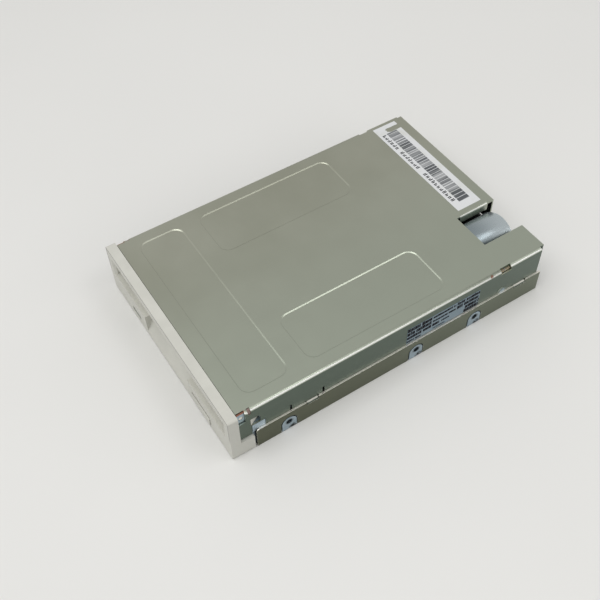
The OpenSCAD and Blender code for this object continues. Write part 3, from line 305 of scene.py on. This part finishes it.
def plated_sheet(name, dark, light, cool, walls, rough, grain, bare_highlight, stains=()):
    """Zinc plated sheet: cloudy tone, upright walls with painted shade, rolled grain, scratches, smudges
    and stains.

    The tone turns cool towards the right. The walls' painted shade has one tone at the front and one at the
    rear.
    Edges that face up between the two given heights show bare sheared metal, made near white as a painted
    highlight. Bends carry a band of painted highlight.
    """
    paint = Paint(name, Metallic=1.0)
    clouds = paint.noise(size=38, detail=4)
    fine = paint.noise(size=0.5, detail=2, stretch=(1, 0.06, 1))
    bend = bend_highlight_mask(paint)
    tone = paint.blend(paint.between(clouds, 0.3, 0.72), dark, light)
    rightward = paint.between(paint.axis(0, paint.place), cad_low.x, cad_high.x)
    tone = paint.blend(rightward, tone, cool)
    rearward = paint.between(paint.axis(1, paint.place), FRONT_Y, cad_high.y)
    # Painted shade: the upright walls darker, most of all at the front
    tone = paint.blend(wall_shade_mask(paint), tone, paint.blend(rearward, *walls))
    # Painted highlight: a near white band along the bends
    tone = paint.blend(bend, tone, PAINTED_BEND_HIGHLIGHT)
    lines = paint.math("MAXIMUM", *[scratches(paint, *line) for line in SCRATCHES])
    tone = paint.blend(paint.math("MULTIPLY", lines, SCRATCH_TONE), tone, scaled(light, SCRATCH_GAIN))
    tone = stained(paint, tone, stains)
    # Sheared edges are bare steel, made near white as a painted highlight
    paint.colour(paint.blend(shear_mask(paint, *bare_highlight), tone, BARE_STEEL_AND_HIGHLIGHT))
    smudge = paint.spread(paint.noise(size=12, detail=5), rough - SMUDGE[0], rough + SMUDGE[1])
    texture = paint.math("ADD", smudge, paint.spread(fine, -grain, grain))
    paint.roughness(paint.math("ADD", texture, paint.math("MULTIPLY", bend, BEND_DULL)))
    paint.bump(paint.math("ADD", paint.math("MULTIPLY", fine, GRAIN_RELIEF), clouds), depth=0.02)
    return paint.material


# Tone of metal's dull patches as a share of its own
DULL = 0.8


def bare_metal(name, base, rough, size, stretch=(1, 1, 1), depth=0.004, metallic=1.0, stains=()):
    """Plain metal with tool marks of about that size in millimetres, drawn out by stretch."""
    paint = Paint(name, Metallic=metallic)
    marks = paint.noise(size, 4, stretch)
    tone = paint.blend(paint.between(paint.noise(size=9), 0.3, 0.7), scaled(base, DULL), base)
    paint.colour(stained(paint, tone, stains))
    paint.rubbed(marks, rough)
    paint.bump(marks, depth)
    return paint.material


def drawn_can_with_highlight(name, front, rear, rough):
    """Drawn steel of the stepper's can, with fine marks along it, brighter towards its rear as a painted
    highlight.
    """
    paint = Paint(name, Metallic=0.75)
    low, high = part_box("stepper_can")
    marks = paint.noise(size=0.5, detail=4, stretch=(1, 0.08, 1))
    # Painted highlight: the can's tone grows brighter towards its rear
    paint.colour(paint.blend(paint.between(paint.axis(1, paint.place), low.y, high.y), front, rear))
    paint.rubbed(marks, rough)
    paint.bump(marks, depth=0.004)
    return paint.material


# The painted shadow line along the front face's edge begins and is full at these distances in millimetres:
# below the drive's top, in from its side, and above the base
RIM_TOP = (1.1, 0.9)
RIM_SIDE = (1.0, 0.8)
RIM_FOOT = (10, 16)
# How far a surface faces forward on the front face, and sideways on a side with painted shade, from 0 to 1
FRONT_FACING = (0.6, 0.9)
SHADED_SIDE_FACING = (0.8, 0.95)


def front_rim_shadow(paint):
    """1 in a narrow line of painted shadow along the top of the drive's front face and down its sides, 0
    elsewhere.
    """
    forward = paint.math("MULTIPLY", paint.axis(1, paint.normal), -1.0)
    face = paint.between(forward, *FRONT_FACING)
    height = paint.axis(2, paint.place)
    top = paint.between(height, cad_high.z - RIM_TOP[0] * MM, cad_high.z - RIM_TOP[1] * MM)
    side = paint.between(paint.outward(), cad_high.x - RIM_SIDE[0] * MM, cad_high.x - RIM_SIDE[1] * MM)
    side = paint.math("MULTIPLY", side, paint.between(height, RIM_FOOT[0] * MM, RIM_FOOT[1] * MM))
    return paint.math("MULTIPLY", face, paint.math("MAXIMUM", top, side))


def moulded(name, base, rough, shade=0.9, side_shade=1.0, rim_shadow=1.0):
    """Moulded plastic: fine spark-eroded skin, faint mottling and handling shine.

    shade scales the tone of the mottling; the next two scale the painted shade on its sides and
    the painted shadow line along the front face's edge.
    """
    paint = Paint(name)
    mottle = paint.between(paint.noise(size=7, detail=5), 0.35, 0.7)
    tone = paint.blend(mottle, scaled(base, shade), base)
    # Painted shade on the sides
    tone = paint.blend(paint.between(paint.sideways(), *SHADED_SIDE_FACING), tone, scaled(base, side_shade))
    # Painted shadow line along the front face's edge
    paint.colour(paint.blend(front_rim_shadow(paint), tone, scaled(base, rim_shadow)))
    paint.rubbed(paint.noise(size=16), rough)
    paint.bump(paint.noise(size=0.35), depth=0.012)
    return paint.material


# Tracks and pads: pitch in millimetres, and gap and edge as shares of it
TRACK_PITCH = 9
TRACK_GAP = 0.07
PAD_PITCH = 2.6
PAD_EDGE = (0.14, 0.2)


def laminate(name):
    """Circuit board: green mask over copper tracks, with pads that shine through."""
    paint = Paint(name)
    steps = paint.add("ShaderNodeTexBrick")
    paint.feed(steps.inputs["Vector"], paint.place)
    steps.inputs["Scale"].default_value = 1 / (TRACK_PITCH * MM)
    steps.inputs["Mortar Size"].default_value = TRACK_GAP
    track = paint.math("SUBTRACT", 1.0, steps.outputs["Fac"])
    pads = paint.between(paint.cells(PAD_PITCH), *PAD_EDGE)
    board = paint.blend(track, rgb(52, 116, 66), rgb(30, 82, 48))
    paint.colour(paint.blend(pads, rgb(186, 160, 92), board))
    paint.roughness(paint.spread(paint.noise(size=3), 0.28, 0.46))
    paint.bump(track, depth=0.02)
    return paint.material


WINDING_PITCH = 1.6


def wound_wire(name):
    """Enamelled wire, its turns as rings about Z."""
    paint = Paint(name, Metallic=0.7)
    wave = paint.add("ShaderNodeTexWave", wave_type="RINGS", rings_direction="Z")
    wave.inputs["Scale"].default_value = 1 / (WINDING_PITCH * MM)
    paint.feed(wave.inputs["Vector"], paint.place)
    paint.colour(paint.blend(wave.outputs["Fac"], rgb(120, 58, 26), rgb(206, 122, 62)))
    paint.roughness(paint.spread(paint.noise(size=2), 0.25, 0.45))
    paint.bump(wave.outputs["Fac"], depth=0.1)
    return paint.material


def clear_lens(name):
    """Tinted plastic of the indicator, with a glossy coat."""
    paint = Paint(name, IOR=1.49, Coat_Weight=0.4)
    paint.colour(paint.blend(paint.noise(size=1.5), rgb(38, 52, 34), rgb(60, 78, 50)))
    paint.roughness(paint.spread(paint.noise(size=2.5), 0.12, 0.26))
    paint.bump(paint.noise(size=0.6), depth=0.01)
    return paint.material


# Tone of yellowed paper as shares of its red, green and blue
YELLOWED = (0.9, 0.9, 0.84)


def paper(name, base, fibre):
    """Coated label stock: faint fibre, yellowing patches and rubbed shine."""
    paint = Paint(name)
    worn = tuple(share * part for share, part in zip(YELLOWED, base)) + (1.0,)
    paint.colour(paint.blend(paint.between(paint.noise(size=6, detail=4), 0.45, 0.8), base, worn))
    paint.roughness(paint.spread(paint.noise(size=4), 0.42, 0.6))
    paint.bump(paint.noise(fibre), depth=0.006)
    return paint.material


def printed(name, base, faded, size, stretch=(1, 1, 1)):
    """Printing ink, thinner in places of about that size in millimetres."""
    paint = Paint(name, Specular_IOR_Level=0.05)
    paint.colour(paint.blend(paint.between(paint.noise(size, 4, stretch), 0.4, 0.65), base, faded))
    paint.roughness(paint.spread(paint.noise(size=2), 0.4, 0.55))
    return paint.material


# Screw holes in the bosses, and painted shadow at a boss's foot, this far behind its hole
HOLE_Y = (25, 85, 115)
HOLE_Z = 5
FOOT_BACK = 1.6
FOOT_Z = 0.4
# Slits in the cover's walls, through which the frame is seen, with painted shadow on it
SLIT_Y = (26.5, 41)
SLIT_Z = (10.8, 13.2)
# Stains, and painted shadow in the slits, the holes and at the bosses' feet: place and reach in
# millimetres, and colour
COVER_STAINS = [((49.6, 121.7, 24.7), 1.0, RUST)]
FRAME_STAINS = [((EAR_FACE, 12.2, 16.5), 1.4, RUST)]
for side in (-1, 1):
    COVER_STAINS.append(((side * 48.8, 7.4, 25.0), 0.7, RUST))
    COVER_STAINS.append(((side * COVER_SIDE, 129.2, 11.4), 2.2, PALE_ZINC))
    # Tarnish in the cover's notch, lightened as painted light
    FRAME_STAINS.append(((side * EAR_FACE, 129.1, 23.9), 4.5, TARNISH_AND_PAINTED_LIGHT))
    # Painted shadow behind the slits, in the screw holes and at the bosses' feet
    FRAME_STAINS += [((side * EAR_FACE, y, z), 2.6, PAINTED_SHADOW) for y in SLIT_Y for z in SLIT_Z]
    FRAME_STAINS += [((side * BOSS_FACE, y, HOLE_Z), 2.2, PAINTED_SHADOW) for y in HOLE_Y]
    FRAME_STAINS += [((side * BOSS_FACE, y + FOOT_BACK, FOOT_Z), 2.6, PAINTED_SHADOW) for y in HOLE_Y]

# Stretch of marks that run along the drive, and of marks in level layers
ALONG = (1, 0.1, 1)
LAYERED = (0.1, 0.1, 1)
# Painted shade of the walls, at the front and at the rear, and heights of the sheared edges in millimetres,
# which get a painted highlight
COVER_WALL_SHADE = (rgb(92, 104, 93), rgb(100, 112, 102))
COVER_SHEAR = (10.4, 10.8)
TRAY_WALL_SHADE = (rgb(97, 100, 82), rgb(118, 124, 109))
TRAY_SHEAR = (10.8, 11.2)

SLOT_MATERIALS = {
    "cover_sheet": plated_sheet("cover_zinc", rgb(172, 174, 159), rgb(182, 184, 170), rgb(177, 184, 170),
                                COVER_WALL_SHADE, rough=0.34, grain=0.03, bare_highlight=COVER_SHEAR, stains=COVER_STAINS),
    "tray_sheet": plated_sheet("tray_zinc", rgb(122, 122, 104), rgb(140, 140, 122), rgb(131, 131, 113),
                               TRAY_WALL_SHADE, rough=0.4, grain=0.04, bare_highlight=TRAY_SHEAR),
    "frame_casting": bare_metal("cast_zinc", rgb(176, 192, 202), rough=0.42, size=0.6, depth=0.015,
                                stains=FRAME_STAINS),
    "bezel_plastic": moulded("bezel_abs", rgb(206, 206, 198), rough=0.48, shade=0.94, side_shade=0.84, rim_shadow=0.62),
    "lens_plastic": clear_lens("lens_acrylic"),
    "board_laminate": laminate("board_mask"),
    "black_plastic": moulded("black_nylon", rgb(34, 35, 37), rough=0.5, shade=0.75),
    "white_plastic": moulded("white_nylon", rgb(214, 210, 196), rough=0.45),
    "bright_steel": bare_metal("ground_steel", rgb(206, 210, 212), rough=0.2, size=0.25, stretch=ALONG),
    "zinc_sheet": bare_metal("passivated_zinc", rgb(186, 190, 186), rough=0.36, size=0.8, stretch=ALONG),
    "screw_steel": bare_metal("screw_zinc", rgb(176, 180, 184), rough=0.32, size=0.5),
    "spring_steel": bare_metal("spring_wire", rgb(160, 163, 166), rough=0.28, size=0.3),
    "bearing_bronze": bare_metal("sintered_bronze", rgb(176, 148, 92), rough=0.46, size=0.35, depth=0.02),
    "lamination_steel": bare_metal("core_steel", rgb(128, 132, 138), rough=0.44, size=0.3, stretch=LAYERED),
    "copper_wire": wound_wire("enamelled_copper"),
    "magnet_ferrite": bare_metal("ferrite", rgb(58, 55, 52), rough=0.62, size=0.4, metallic=0.2),
    "contact_metal": bare_metal("contact_plate", rgb(212, 186, 122), rough=0.24, size=0.4),
    "can_steel": drawn_can_with_highlight("can_zinc", rgb(142, 153, 158), rgb(190, 200, 204), rough=0.28),
    "flex_film": moulded("polyimide", rgb(176, 122, 46), rough=0.34, shade=0.85),
    "head_ceramic": moulded("slider_ceramic", rgb(222, 216, 202), rough=0.3, shade=0.93),
}
# The door flap takes a lighter copy of the bezel's plastic, as painted light that lifts it out of the
# slot's shade
NODE_MATERIALS = {"door_flap": moulded("flap_abs_painted_light", rgb(230, 228, 218), rough=0.48, shade=0.94)}
for part in frame["record"]["subparts"]:
    surface = frame["nodes"][part["node"]].data.materials
    surface.clear()
    surface.append(NODE_MATERIALS.get(part["node"], SLOT_MATERIALS[part["material_slot"]]))


# Softened edges of the CAD nodes: width in millimetres and segments

EDGE_WIDTHS = {
    "top_cover": (0.1, 1),
    "bottom_shield": (0.1, 1),
    "bezel": (0.35, 3),
    "eject_button": (0.3, 3),
    "door_flap": (0.2, 2),
    "indicator_lens": (0.15, 2),
    "stepper_can": (0.6, 3),
    "data_header": (0.12, 1),
    "power_connector": (0.15, 1),
}
WELD_REACH = 0.001 * MM
FLAT_ANGLE = math.radians(1)
SHARP_ANGLE = math.radians(40)


def soften(node, width, segments):
    """Rounds a node's sharp edges by that many millimetres."""
    piece = frame["nodes"][node]
    weld = piece.modifiers.new("weld", "WELD")
    weld.merge_threshold = WELD_REACH
    flat = piece.modifiers.new("flat", "DECIMATE")
    flat.decimate_type = "DISSOLVE"
    flat.angle_limit = FLAT_ANGLE
    edge = piece.modifiers.new("edge", "BEVEL")
    edge.width = width * MM
    edge.segments = segments
    edge.limit_method = "ANGLE"
    edge.angle_limit = SHARP_ANGLE
    edge.harden_normals = True


for node, (width, segments) in EDGE_WIDTHS.items():
    soften(node, width, segments)


# Plates and slabs

def make_piece(name, corners, faces, material):
    """An object from its corners and faces, with one material."""
    mesh = bpy.data.meshes.new(name)
    mesh.from_pydata(corners, [], faces)
    mesh.materials.append(material)
    piece = bpy.data.objects.new(name, mesh)
    bpy.context.scene.collection.objects.link(piece)
    return piece


def slabs(name, outlines, low, high, lay, material):
    """Flat slabs, one for each closed outline, between two heights. lay turns these into a point."""
    corners = []
    faces = []
    for outline in outlines:
        first = len(corners)
        count = len(outline)
        corners += [lay(a, b, low) for a, b in outline] + [lay(a, b, high) for a, b in outline]
        faces.append([first + i for i in reversed(range(count))])
        faces.append([first + count + i for i in range(count)])
        for i in range(count):
            j = (i + 1) % count
            faces.append([first + i, first + j, first + count + j, first + count + i])
    return make_piece(name, corners, faces, material)


def plates(name, outlines, low, high, lay, material):
    """Slabs fixed to the casing, in millimetres."""
    piece = slabs(name, outlines, low, high, lay, material)
    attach(piece, "chassis")
    return piece


def on_side(y, z, x):
    """A point of an outline that lies on the drive's side, x out from the middle."""
    return spot(x, y, z)


def on_front(x, z, y):
    """A point of an outline that lies on the bezel's face, y ahead of it."""
    return spot(x, -y, z)


def bar(a, b):
    """A rectangle's outline from its limits on both axes."""
    return [(a[0], b[0]), (a[1], b[0]), (a[1], b[1]), (a[0], b[1])]


def round_corners(outline, r, steps=4):
    """The outline with each corner turned into a short curve that begins r before it."""
    smooth = []
    count = len(outline)
    for i, corner in enumerate(outline):
        here = Vector(corner)
        back = (Vector(outline[i - 1]) - here).normalized()
        ahead = (Vector(outline[(i + 1) % count]) - here).normalized()
        for step in range(steps + 1):
            t = step / steps
            pull = (1 - t) ** 2 * back + t ** 2 * ahead
            smooth.append(tuple(here + r * pull))
    return smooth


# Labels with plain bars and strokes

LABEL_T = 0.08
INK_T = 0.02
paper_white = paper("label_paper", rgb(217, 219, 221), fibre=0.4)
paper_silver = paper("label_foil", rgb(120, 138, 149), fibre=0.25)
ink_grey = printed("barcode_ink", rgb(92, 95, 98), rgb(164, 166, 168), size=2.2, stretch=(1, 0.05, 1))
ink_black = printed("label_ink", rgb(14, 14, 20), rgb(20, 20, 28), size=1.1)

LABEL_SEED = 5
LABEL_X = (-47.4, 14.3)
LABEL_Y = (133.2, 145.4)
LABEL_CORNER = 0.25
# A torn notch in the label's rear edge: its right side, foot and left side, and how ragged they are
TEAR_X = (-45.1, -42.3)
TEAR_Y = 138.2
TEAR_RIGHT_Y = (145.4, 143.5, 141.6, 139.8)
TEAR_FOOT_X = (-42.9, -43.9, -44.7)
TEAR_LEFT_Y = (139.4, 141.2, 143.2, 145.4)
RAGGED_RIGHT = 0.25
RAGGED = 0.2
CODE_X = (-42.0, 10.2)
CODE_Y = (137.1, 142.7)
BAR_WIDTHS = (0.9, 1.3, 1.8, 2.3)
BAR_GAPS = (0.28, 0.28, 0.45)
# Groups of marks in front of the bars of the top label: start and count
MARK_GROUPS = [(-41.7, 6), (-28.4, 7), (-11.7, 11)]
MARK_FOOT = 134.5
MARK_HEIGHTS = (1.1, 1.5, 1.9)
MARK_PITCH = 1.9
MARK_W = 0.45
MARK_GAP = 0.25


def torn_edge(draw):
    """The ragged points of the notch, from right to left."""
    right = [(TEAR_X[1] + draw.uniform(-RAGGED_RIGHT, RAGGED_RIGHT), y) for y in TEAR_RIGHT_Y]
    foot = [(x, TEAR_Y + draw.uniform(-RAGGED, RAGGED)) for x in TEAR_FOOT_X]
    left = [(TEAR_X[0] + draw.uniform(-RAGGED, RAGGED), y) for y in TEAR_LEFT_Y]
    return right + foot + left


def make_top_label():
    """A paper label on the cover, with a row of bars and a row of marks."""
    draw = random.Random(LABEL_SEED)
    outline = bar(LABEL_X, LABEL_Y)
    outline[3:3] = torn_edge(draw)
    outline = round_corners(outline, LABEL_CORNER, steps=2)
    paper_top = COVER_TOP + LABEL_T
    plates("top_label", [outline], COVER_TOP, paper_top, spot, paper_white)
    bars = []
    x = CODE_X[0]
    while x < CODE_X[1]:
        width = draw.choice(BAR_WIDTHS)
        bars.append(bar((x, min(x + width, CODE_X[1])), CODE_Y))
        x += width + draw.choice(BAR_GAPS)
    plates("top_label_bars", bars, paper_top, paper_top + INK_T, spot, ink_grey)
    marks = []
    for start, count in MARK_GROUPS:
        for place in range(count):
            x = start + place * MARK_PITCH
            for stroke in (x, x + MARK_W + MARK_GAP):
                head = MARK_FOOT + draw.choice(MARK_HEIGHTS)
                marks.append(bar((stroke, stroke + MARK_W), (MARK_FOOT, head)))
    plates("top_label_marks", marks, paper_top, paper_top + INK_T, spot, ink_black)


SIDE_SEED = 11
SIDE_Y = (80, 116.2)
SIDE_Z = (11.3, 20.7)
SIDE_CORNER = 0.6
# Rows of strokes on the side label: foot, height, start and end along the label
LABEL_ROWS = [(18.5, 2.2, 0.1, 12), (18.8, 1.3, 12.6, 24), (18.7, 1.8, 24.6, 36.1),
              (16.1, 2.2, 0.1, 12), (16.5, 1.2, 12.6, 24), (16.3, 2.0, 24.6, 36.1),
              (13.9, 1.8, 0.1, 16), (14.2, 1.0, 17, 21), (13.8, 2.2, 29, 36.1),
              (12.0, 1.1, 0.1, 7), (12.2, 0.6, 13, 19), (11.5, 2.1, 28.6, 36.1)]
# Strokes stand in groups: how many there are, their widths, gaps and shares of the row's height
GROUP_COUNT = (3, 9)
GROUP_GAPS = (0.4, 0.6)
STROKE_WIDTHS = (0.6, 1.0, 1.4)
STROKE_GAPS = (0.1, 0.16)
STROKE_SHARE = (0.8, 1.0)


def make_side_label():
    """A foil label on the cover's right side, with rows of strokes."""
    draw = random.Random(SIDE_SEED)
    foil_top = COVER_SIDE + LABEL_T
    outline = round_corners(bar(SIDE_Y, SIDE_Z), SIDE_CORNER)
    plates("side_label", [outline], COVER_SIDE, foil_top, on_side, paper_silver)
    strokes = []
    for z, height, first, last in LABEL_ROWS:
        y = SIDE_Y[0] + first
        end = SIDE_Y[0] + last
        while y < end:
            for _ in range(draw.randint(*GROUP_COUNT)):
                width = min(draw.choice(STROKE_WIDTHS), end - y)
                if width > 0:
                    strokes.append(bar((y, y + width), (z, z + height * draw.uniform(*STROKE_SHARE))))
                y += width + draw.choice(STROKE_GAPS)
            y += draw.choice(GROUP_GAPS)
    plates("side_label_bars", strokes, foil_top, foil_top + INK_T, on_side, ink_black)


make_top_label()
make_side_label()


# Burr on the tray's sheared upper edge and worn upper faces of the cover's hooks, near white as a painted
# highlight

EDGE_Y = [(12.2, 32.6), (38.8, 134.4), (141.8, 149.5)]
BURR_X = (50.04, 50.3)
BURR_SINK = 0.06
BURR_RISE = 0.02
HOOK_Y = [(33.4, 38.0), (135.2, 141.0)]
HOOK_X = (50.0, 50.68)
HOOK_TOP = 10.6
WEAR_T = 0.04
# Near white metal as a painted highlight; on the burrs it also covers the shaded gap above the tray
worn_steel_highlight = bare_metal("worn_steel_highlight", BARE_STEEL_AND_HIGHLIGHT, rough=0.5, size=0.4, stretch=ALONG)
# Near white and hardly metallic, as a painted highlight on hook tops that lie in shade
rubbed_steel_highlight = bare_metal("rubbed_steel_highlight", BARE_STEEL_AND_HIGHLIGHT, rough=0.55, size=0.4, stretch=ALONG, metallic=0.2)


def make_edge(name, across, along, low, high, material, slot):
    """Thin strips on both sides of the drive."""
    strips = [bar(across, y) for y in along] + [bar((-across[1], -across[0]), y) for y in along]
    plates(name, strips, low, high, spot, material)


tray_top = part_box("bottom_shield")[1].z / MM
burr_z = (tray_top - BURR_SINK, tray_top + BURR_RISE)
make_edge("tray_burr_highlights", BURR_X, EDGE_Y, *burr_z, worn_steel_highlight, "tray_sheet")
make_edge("hook_wear_highlight", HOOK_X, HOOK_Y, HOOK_TOP, HOOK_TOP + WEAR_T, rubbed_steel_highlight, "cover_sheet")


# Painted shadow on the bezel above the eject button

SHADOW_T = 0.03
SHADOW_RISE = (0.3, 0.75)


def make_button_shadow():
    """A thin dark line of painted shadow as wide as the button, a little above it."""
    low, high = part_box("eject_button")
    line = bar((low.x / MM, high.x / MM), [high.z / MM + rise for rise in SHADOW_RISE])
    # Painted shadow along the gap above the button
    shadow_ink = printed("painted_shadow_ink", rgb(96, 88, 76), rgb(140, 134, 122), size=0.8)
    plates("button_shadow", [line], 0, SHADOW_T, on_front, shadow_ink)


make_button_shadow()


# Lips that close the gap between the frame's ears and the cover, rusted where the sheet is cut

LIP_Y = (4.5, 7.4)
LIP_X = (48.45, 49.15)
LIP_H = 0.55
RUST_T = 0.1
EAR_DROP = 1.2
# The cover's bend, and the lug in its notch
NOTCH_Y = (8.75, 9.95)
BEND_X = 48.4
BEND_R = 1.6
LUG_R = 1.35
LUG_DROP = 0.7
LUG_TURN = math.radians(87)
LUG_STEPS = 6
rusted = bare_metal("rusted_zinc", RUST, rough=0.6, size=0.4, metallic=0.2)
browned = bare_metal("browned_zinc", rgb(134, 114, 108), rough=0.6, size=0.4, metallic=0.2)


def across_bend(z, x, y):
    """A point of an outline that lies across the drive, y behind the bezel face."""
    return spot(x, y, z)


def make_lugs(ear_top):
    """Browned lugs in the notches of the cover's bends, rounded like the bend."""
    bend_z = COVER_TOP - BEND_R
    turns = [LUG_TURN * (1 - step / LUG_STEPS) for step in range(LUG_STEPS + 1)]
    arc = [(bend_z + LUG_R * math.sin(turn), BEND_X + LUG_R * math.cos(turn)) for turn in turns]
    low = bend_z - LUG_DROP
    outline = arc + [(low, arc[-1][1]), (low, EAR_FACE), (ear_top, EAR_FACE), (ear_top, arc[0][1])]
    mirrored = [(z, -x) for z, x in reversed(outline)]
    plates("bend_lugs", [outline, mirrored], *NOTCH_Y, across_bend, browned)


def make_lips():
    """Lips on the frame's ears with a rusted upper face, and the lugs behind them."""
    ear_top = COVER_TOP - EAR_DROP
    lip_top = ear_top + LIP_H
    cast = SLOT_MATERIALS["frame_casting"]
    make_edge("ear_lips", LIP_X, [LIP_Y], ear_top, lip_top, cast, "frame_casting")
    make_edge("ear_rust", LIP_X, [LIP_Y], lip_top, lip_top + RUST_T, rusted, "frame_casting")
    make_lugs(ear_top)


make_lips()


# Wound springs in place of the plain spring solids, and the heads' flexible cable

WIRE_R = 0.18 * MM
WIRE_SIDES = 6
TURN_STEPS = 18
PITCH = 0.62 * MM


def coil(start, end, reach):
    """Corners and faces of a coil of round wire between two points, with reach as its outer radius."""
    along = end - start
    axis = along.normalized()
    side = axis.orthogonal().normalized()
    steps = TURN_STEPS * int((along.length - 2 * WIRE_R) / PITCH)
    corners = []
    for i in range(steps + 1):
        out = Matrix.Rotation(2 * math.pi * i / TURN_STEPS, 3, axis) @ side
        rise = WIRE_R + (along.length - 2 * WIRE_R) * i / steps
        middle = start + rise * axis + (reach - WIRE_R) * out
        for j in range(WIRE_SIDES):
            turn = 2 * math.pi * j / WIRE_SIDES
            corners.append(middle + WIRE_R * (math.cos(turn) * out + math.sin(turn) * axis))
    faces = [list(range(WIRE_SIDES)), [steps * WIRE_SIDES + j for j in reversed(range(WIRE_SIDES))]]
    for i in range(steps):
        here = i * WIRE_SIDES
        ahead = here + WIRE_SIDES
        for j in range(WIRE_SIDES):
            k = (j + 1) % WIRE_SIDES
            faces.append([here + j, ahead + j, ahead + k, here + k])
    return corners, faces


def make_spring(node, axis):
    """A coil that fills the box of a spring's CAD node along one axis."""
    low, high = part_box(node)
    start = (low + high) / 2
    end = start.copy()
    start[axis] = low[axis]
    end[axis] = high[axis]
    across = (axis + 1) % 3
    corners, faces = coil(start, end, (high[across] - low[across]) / 2)
    piece = make_piece(node + "_coil", corners, faces, SLOT_MATERIALS["spring_steel"])
    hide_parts(node)
    return piece


def make_slide_springs():
    """The two return springs, which stretch between the frame's posts and the slide's tabs."""
    low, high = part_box("slide_springs")
    reach = (high.z - low.z) / 2
    corners = []
    faces = []
    for x in (low.x + reach, high.x - reach):
        wire, skin = coil(Vector((x, low.y, low.z + reach)), Vector((x, high.y, low.z + reach)), reach)
        faces += [[len(corners) + index for index in face] for face in skin]
        corners += wire
    piece = make_piece("slide_springs_coil", corners, faces, SLOT_MATERIALS["spring_steel"])
    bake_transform(piece)
    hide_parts("slide_springs")


FILM_T = 0.2 * MM
RIBBON_START = 0.6 * MM
BEND_STEPS = 24


def from_side(y, z, x):
    """A point in metres of an outline that is seen from the side."""
    return Vector((x, y, z))


def make_ribbon():
    """The film from the frame to the carriage, turned back in a loop."""
    low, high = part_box("head_flex_cable")
    height = (low.z + high.z) / 2
    outer = (high.z - low.z) / 2
    bend_y = high.y - outer

    def run(reach):
        turns = [math.pi * (step / BEND_STEPS - 0.5) for step in range(BEND_STEPS + 1)]
        bend = [(bend_y + reach * math.cos(turn), height + reach * math.sin(turn)) for turn in turns]
        return [(low.y + RIBBON_START, height - reach)] + bend + [(low.y, height + reach)]

    outline = run(outer) + run(outer - FILM_T)[::-1]
    piece = slabs("head_flex_ribbon", [outline], low.x, high.x, from_side, SLOT_MATERIALS["flex_film"])
    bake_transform(piece)
    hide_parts("head_flex_cable")


make_slide_springs()
make_ribbon()
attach(make_spring("flap_spring", 0), "chassis")
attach(make_spring("arm_spring", 0), "carriage")
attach(make_spring("lever_spring", 2), "carrier")


# Stage and light, in metres and watts

FLOOR_SIZE = 6.0
FLOOR_GAP = 0.2 * MM
WORLD_TONE = (1.0, 0.99, 0.97, 1)
WORLD_STRENGTH = 0.6
# Soft boxes: place, target, size and power
SOFT_BOXES = {
    "overhead": ((0.0, -0.45, 1.05), (0, 0, 0.01), (0.8, 0.8), 4.6),
    "right_strip": ((0.56, 0.42, 0.4), (0.04, 0.02, 0.02), (1.2, 0.06), 0.6),
    "back_high": ((0.34, 0.3, 0.82), (0, 0, 0.02), (0.4, 0.25), 0.8),
}


def floor_material():
    """Matt pale paper."""
    paint = Paint("pale_floor")
    paint.colour(paint.blend(paint.noise(size=180), rgb(224, 224, 222), rgb(231, 231, 229)))
    paint.roughness(paint.spread(paint.noise(size=40), 0.7, 0.85))
    return paint.material


def make_floor():
    """A wide sheet just under the drive."""
    half = FLOOR_SIZE / 2
    corners = [(x, y, 0) for x, y in bar((-half, half), (-half, half))]
    floor = make_piece("floor", corners, [(0, 1, 2, 3)], floor_material())
    floor.location.z = cad_low.z - FLOOR_GAP


def soft_light(name, place, target, size, power):
    """A rectangular soft box at place, facing target."""
    data = bpy.data.lights.new(name, "AREA")
    data.shape = "RECTANGLE"
    data.size, data.size_y = size
    data.energy = power
    lamp = bpy.data.objects.new(name, data)
    lamp.location = place
    lamp.rotation_euler = (Vector(target) - Vector(place)).to_track_quat("-Z", "Y").to_euler()
    bpy.context.scene.collection.objects.link(lamp)


def make_light():
    """An even pale surround and the soft boxes."""
    world = bpy.data.worlds.new("studio")
    world.use_nodes = True
    background = world.node_tree.nodes["Background"]
    background.inputs["Color"].default_value = WORLD_TONE
    background.inputs["Strength"].default_value = WORLD_STRENGTH
    bpy.context.scene.world = world
    for name, settings in SOFT_BOXES.items():
        soft_light(name, *settings)


# Camera fitted to the photograph: place, lens and sensor in millimetres, angles in degrees

CAMERA_PLACE = (198.9, -58.9, 292.2)
CAMERA_AZIMUTH = 58.64
CAMERA_ELEVATION = 51.5
CAMERA_ROLL = -1.81
CAMERA_LENS = 52.5
SENSOR = 36.0


def make_camera():
    """The camera at its place, turned by its azimuth, elevation and roll."""
    azimuth = math.radians(CAMERA_AZIMUTH)
    elevation = math.radians(CAMERA_ELEVATION)
    back = Vector((math.sin(azimuth) * math.cos(elevation), -math.cos(azimuth) * math.cos(elevation),
                   math.sin(elevation)))
    right = Vector((math.cos(azimuth), math.sin(azimuth), 0))
    turned = Matrix((right, back.cross(right), back)).transposed()
    data = bpy.data.cameras.new("camera")
    data.sensor_width = SENSOR
    data.lens = CAMERA_LENS
    camera = bpy.data.objects.new("camera", data)
    roll = Matrix.Rotation(math.radians(CAMERA_ROLL), 3, "Z")
    camera.matrix_world = Matrix.Translation(spot(*CAMERA_PLACE)) @ (turned @ roll).to_4x4()
    bpy.context.scene.collection.objects.link(camera)
    bpy.context.scene.camera = camera


make_floor()
make_light()
make_camera()
bpy.context.scene.view_settings.view_transform = "Standard"
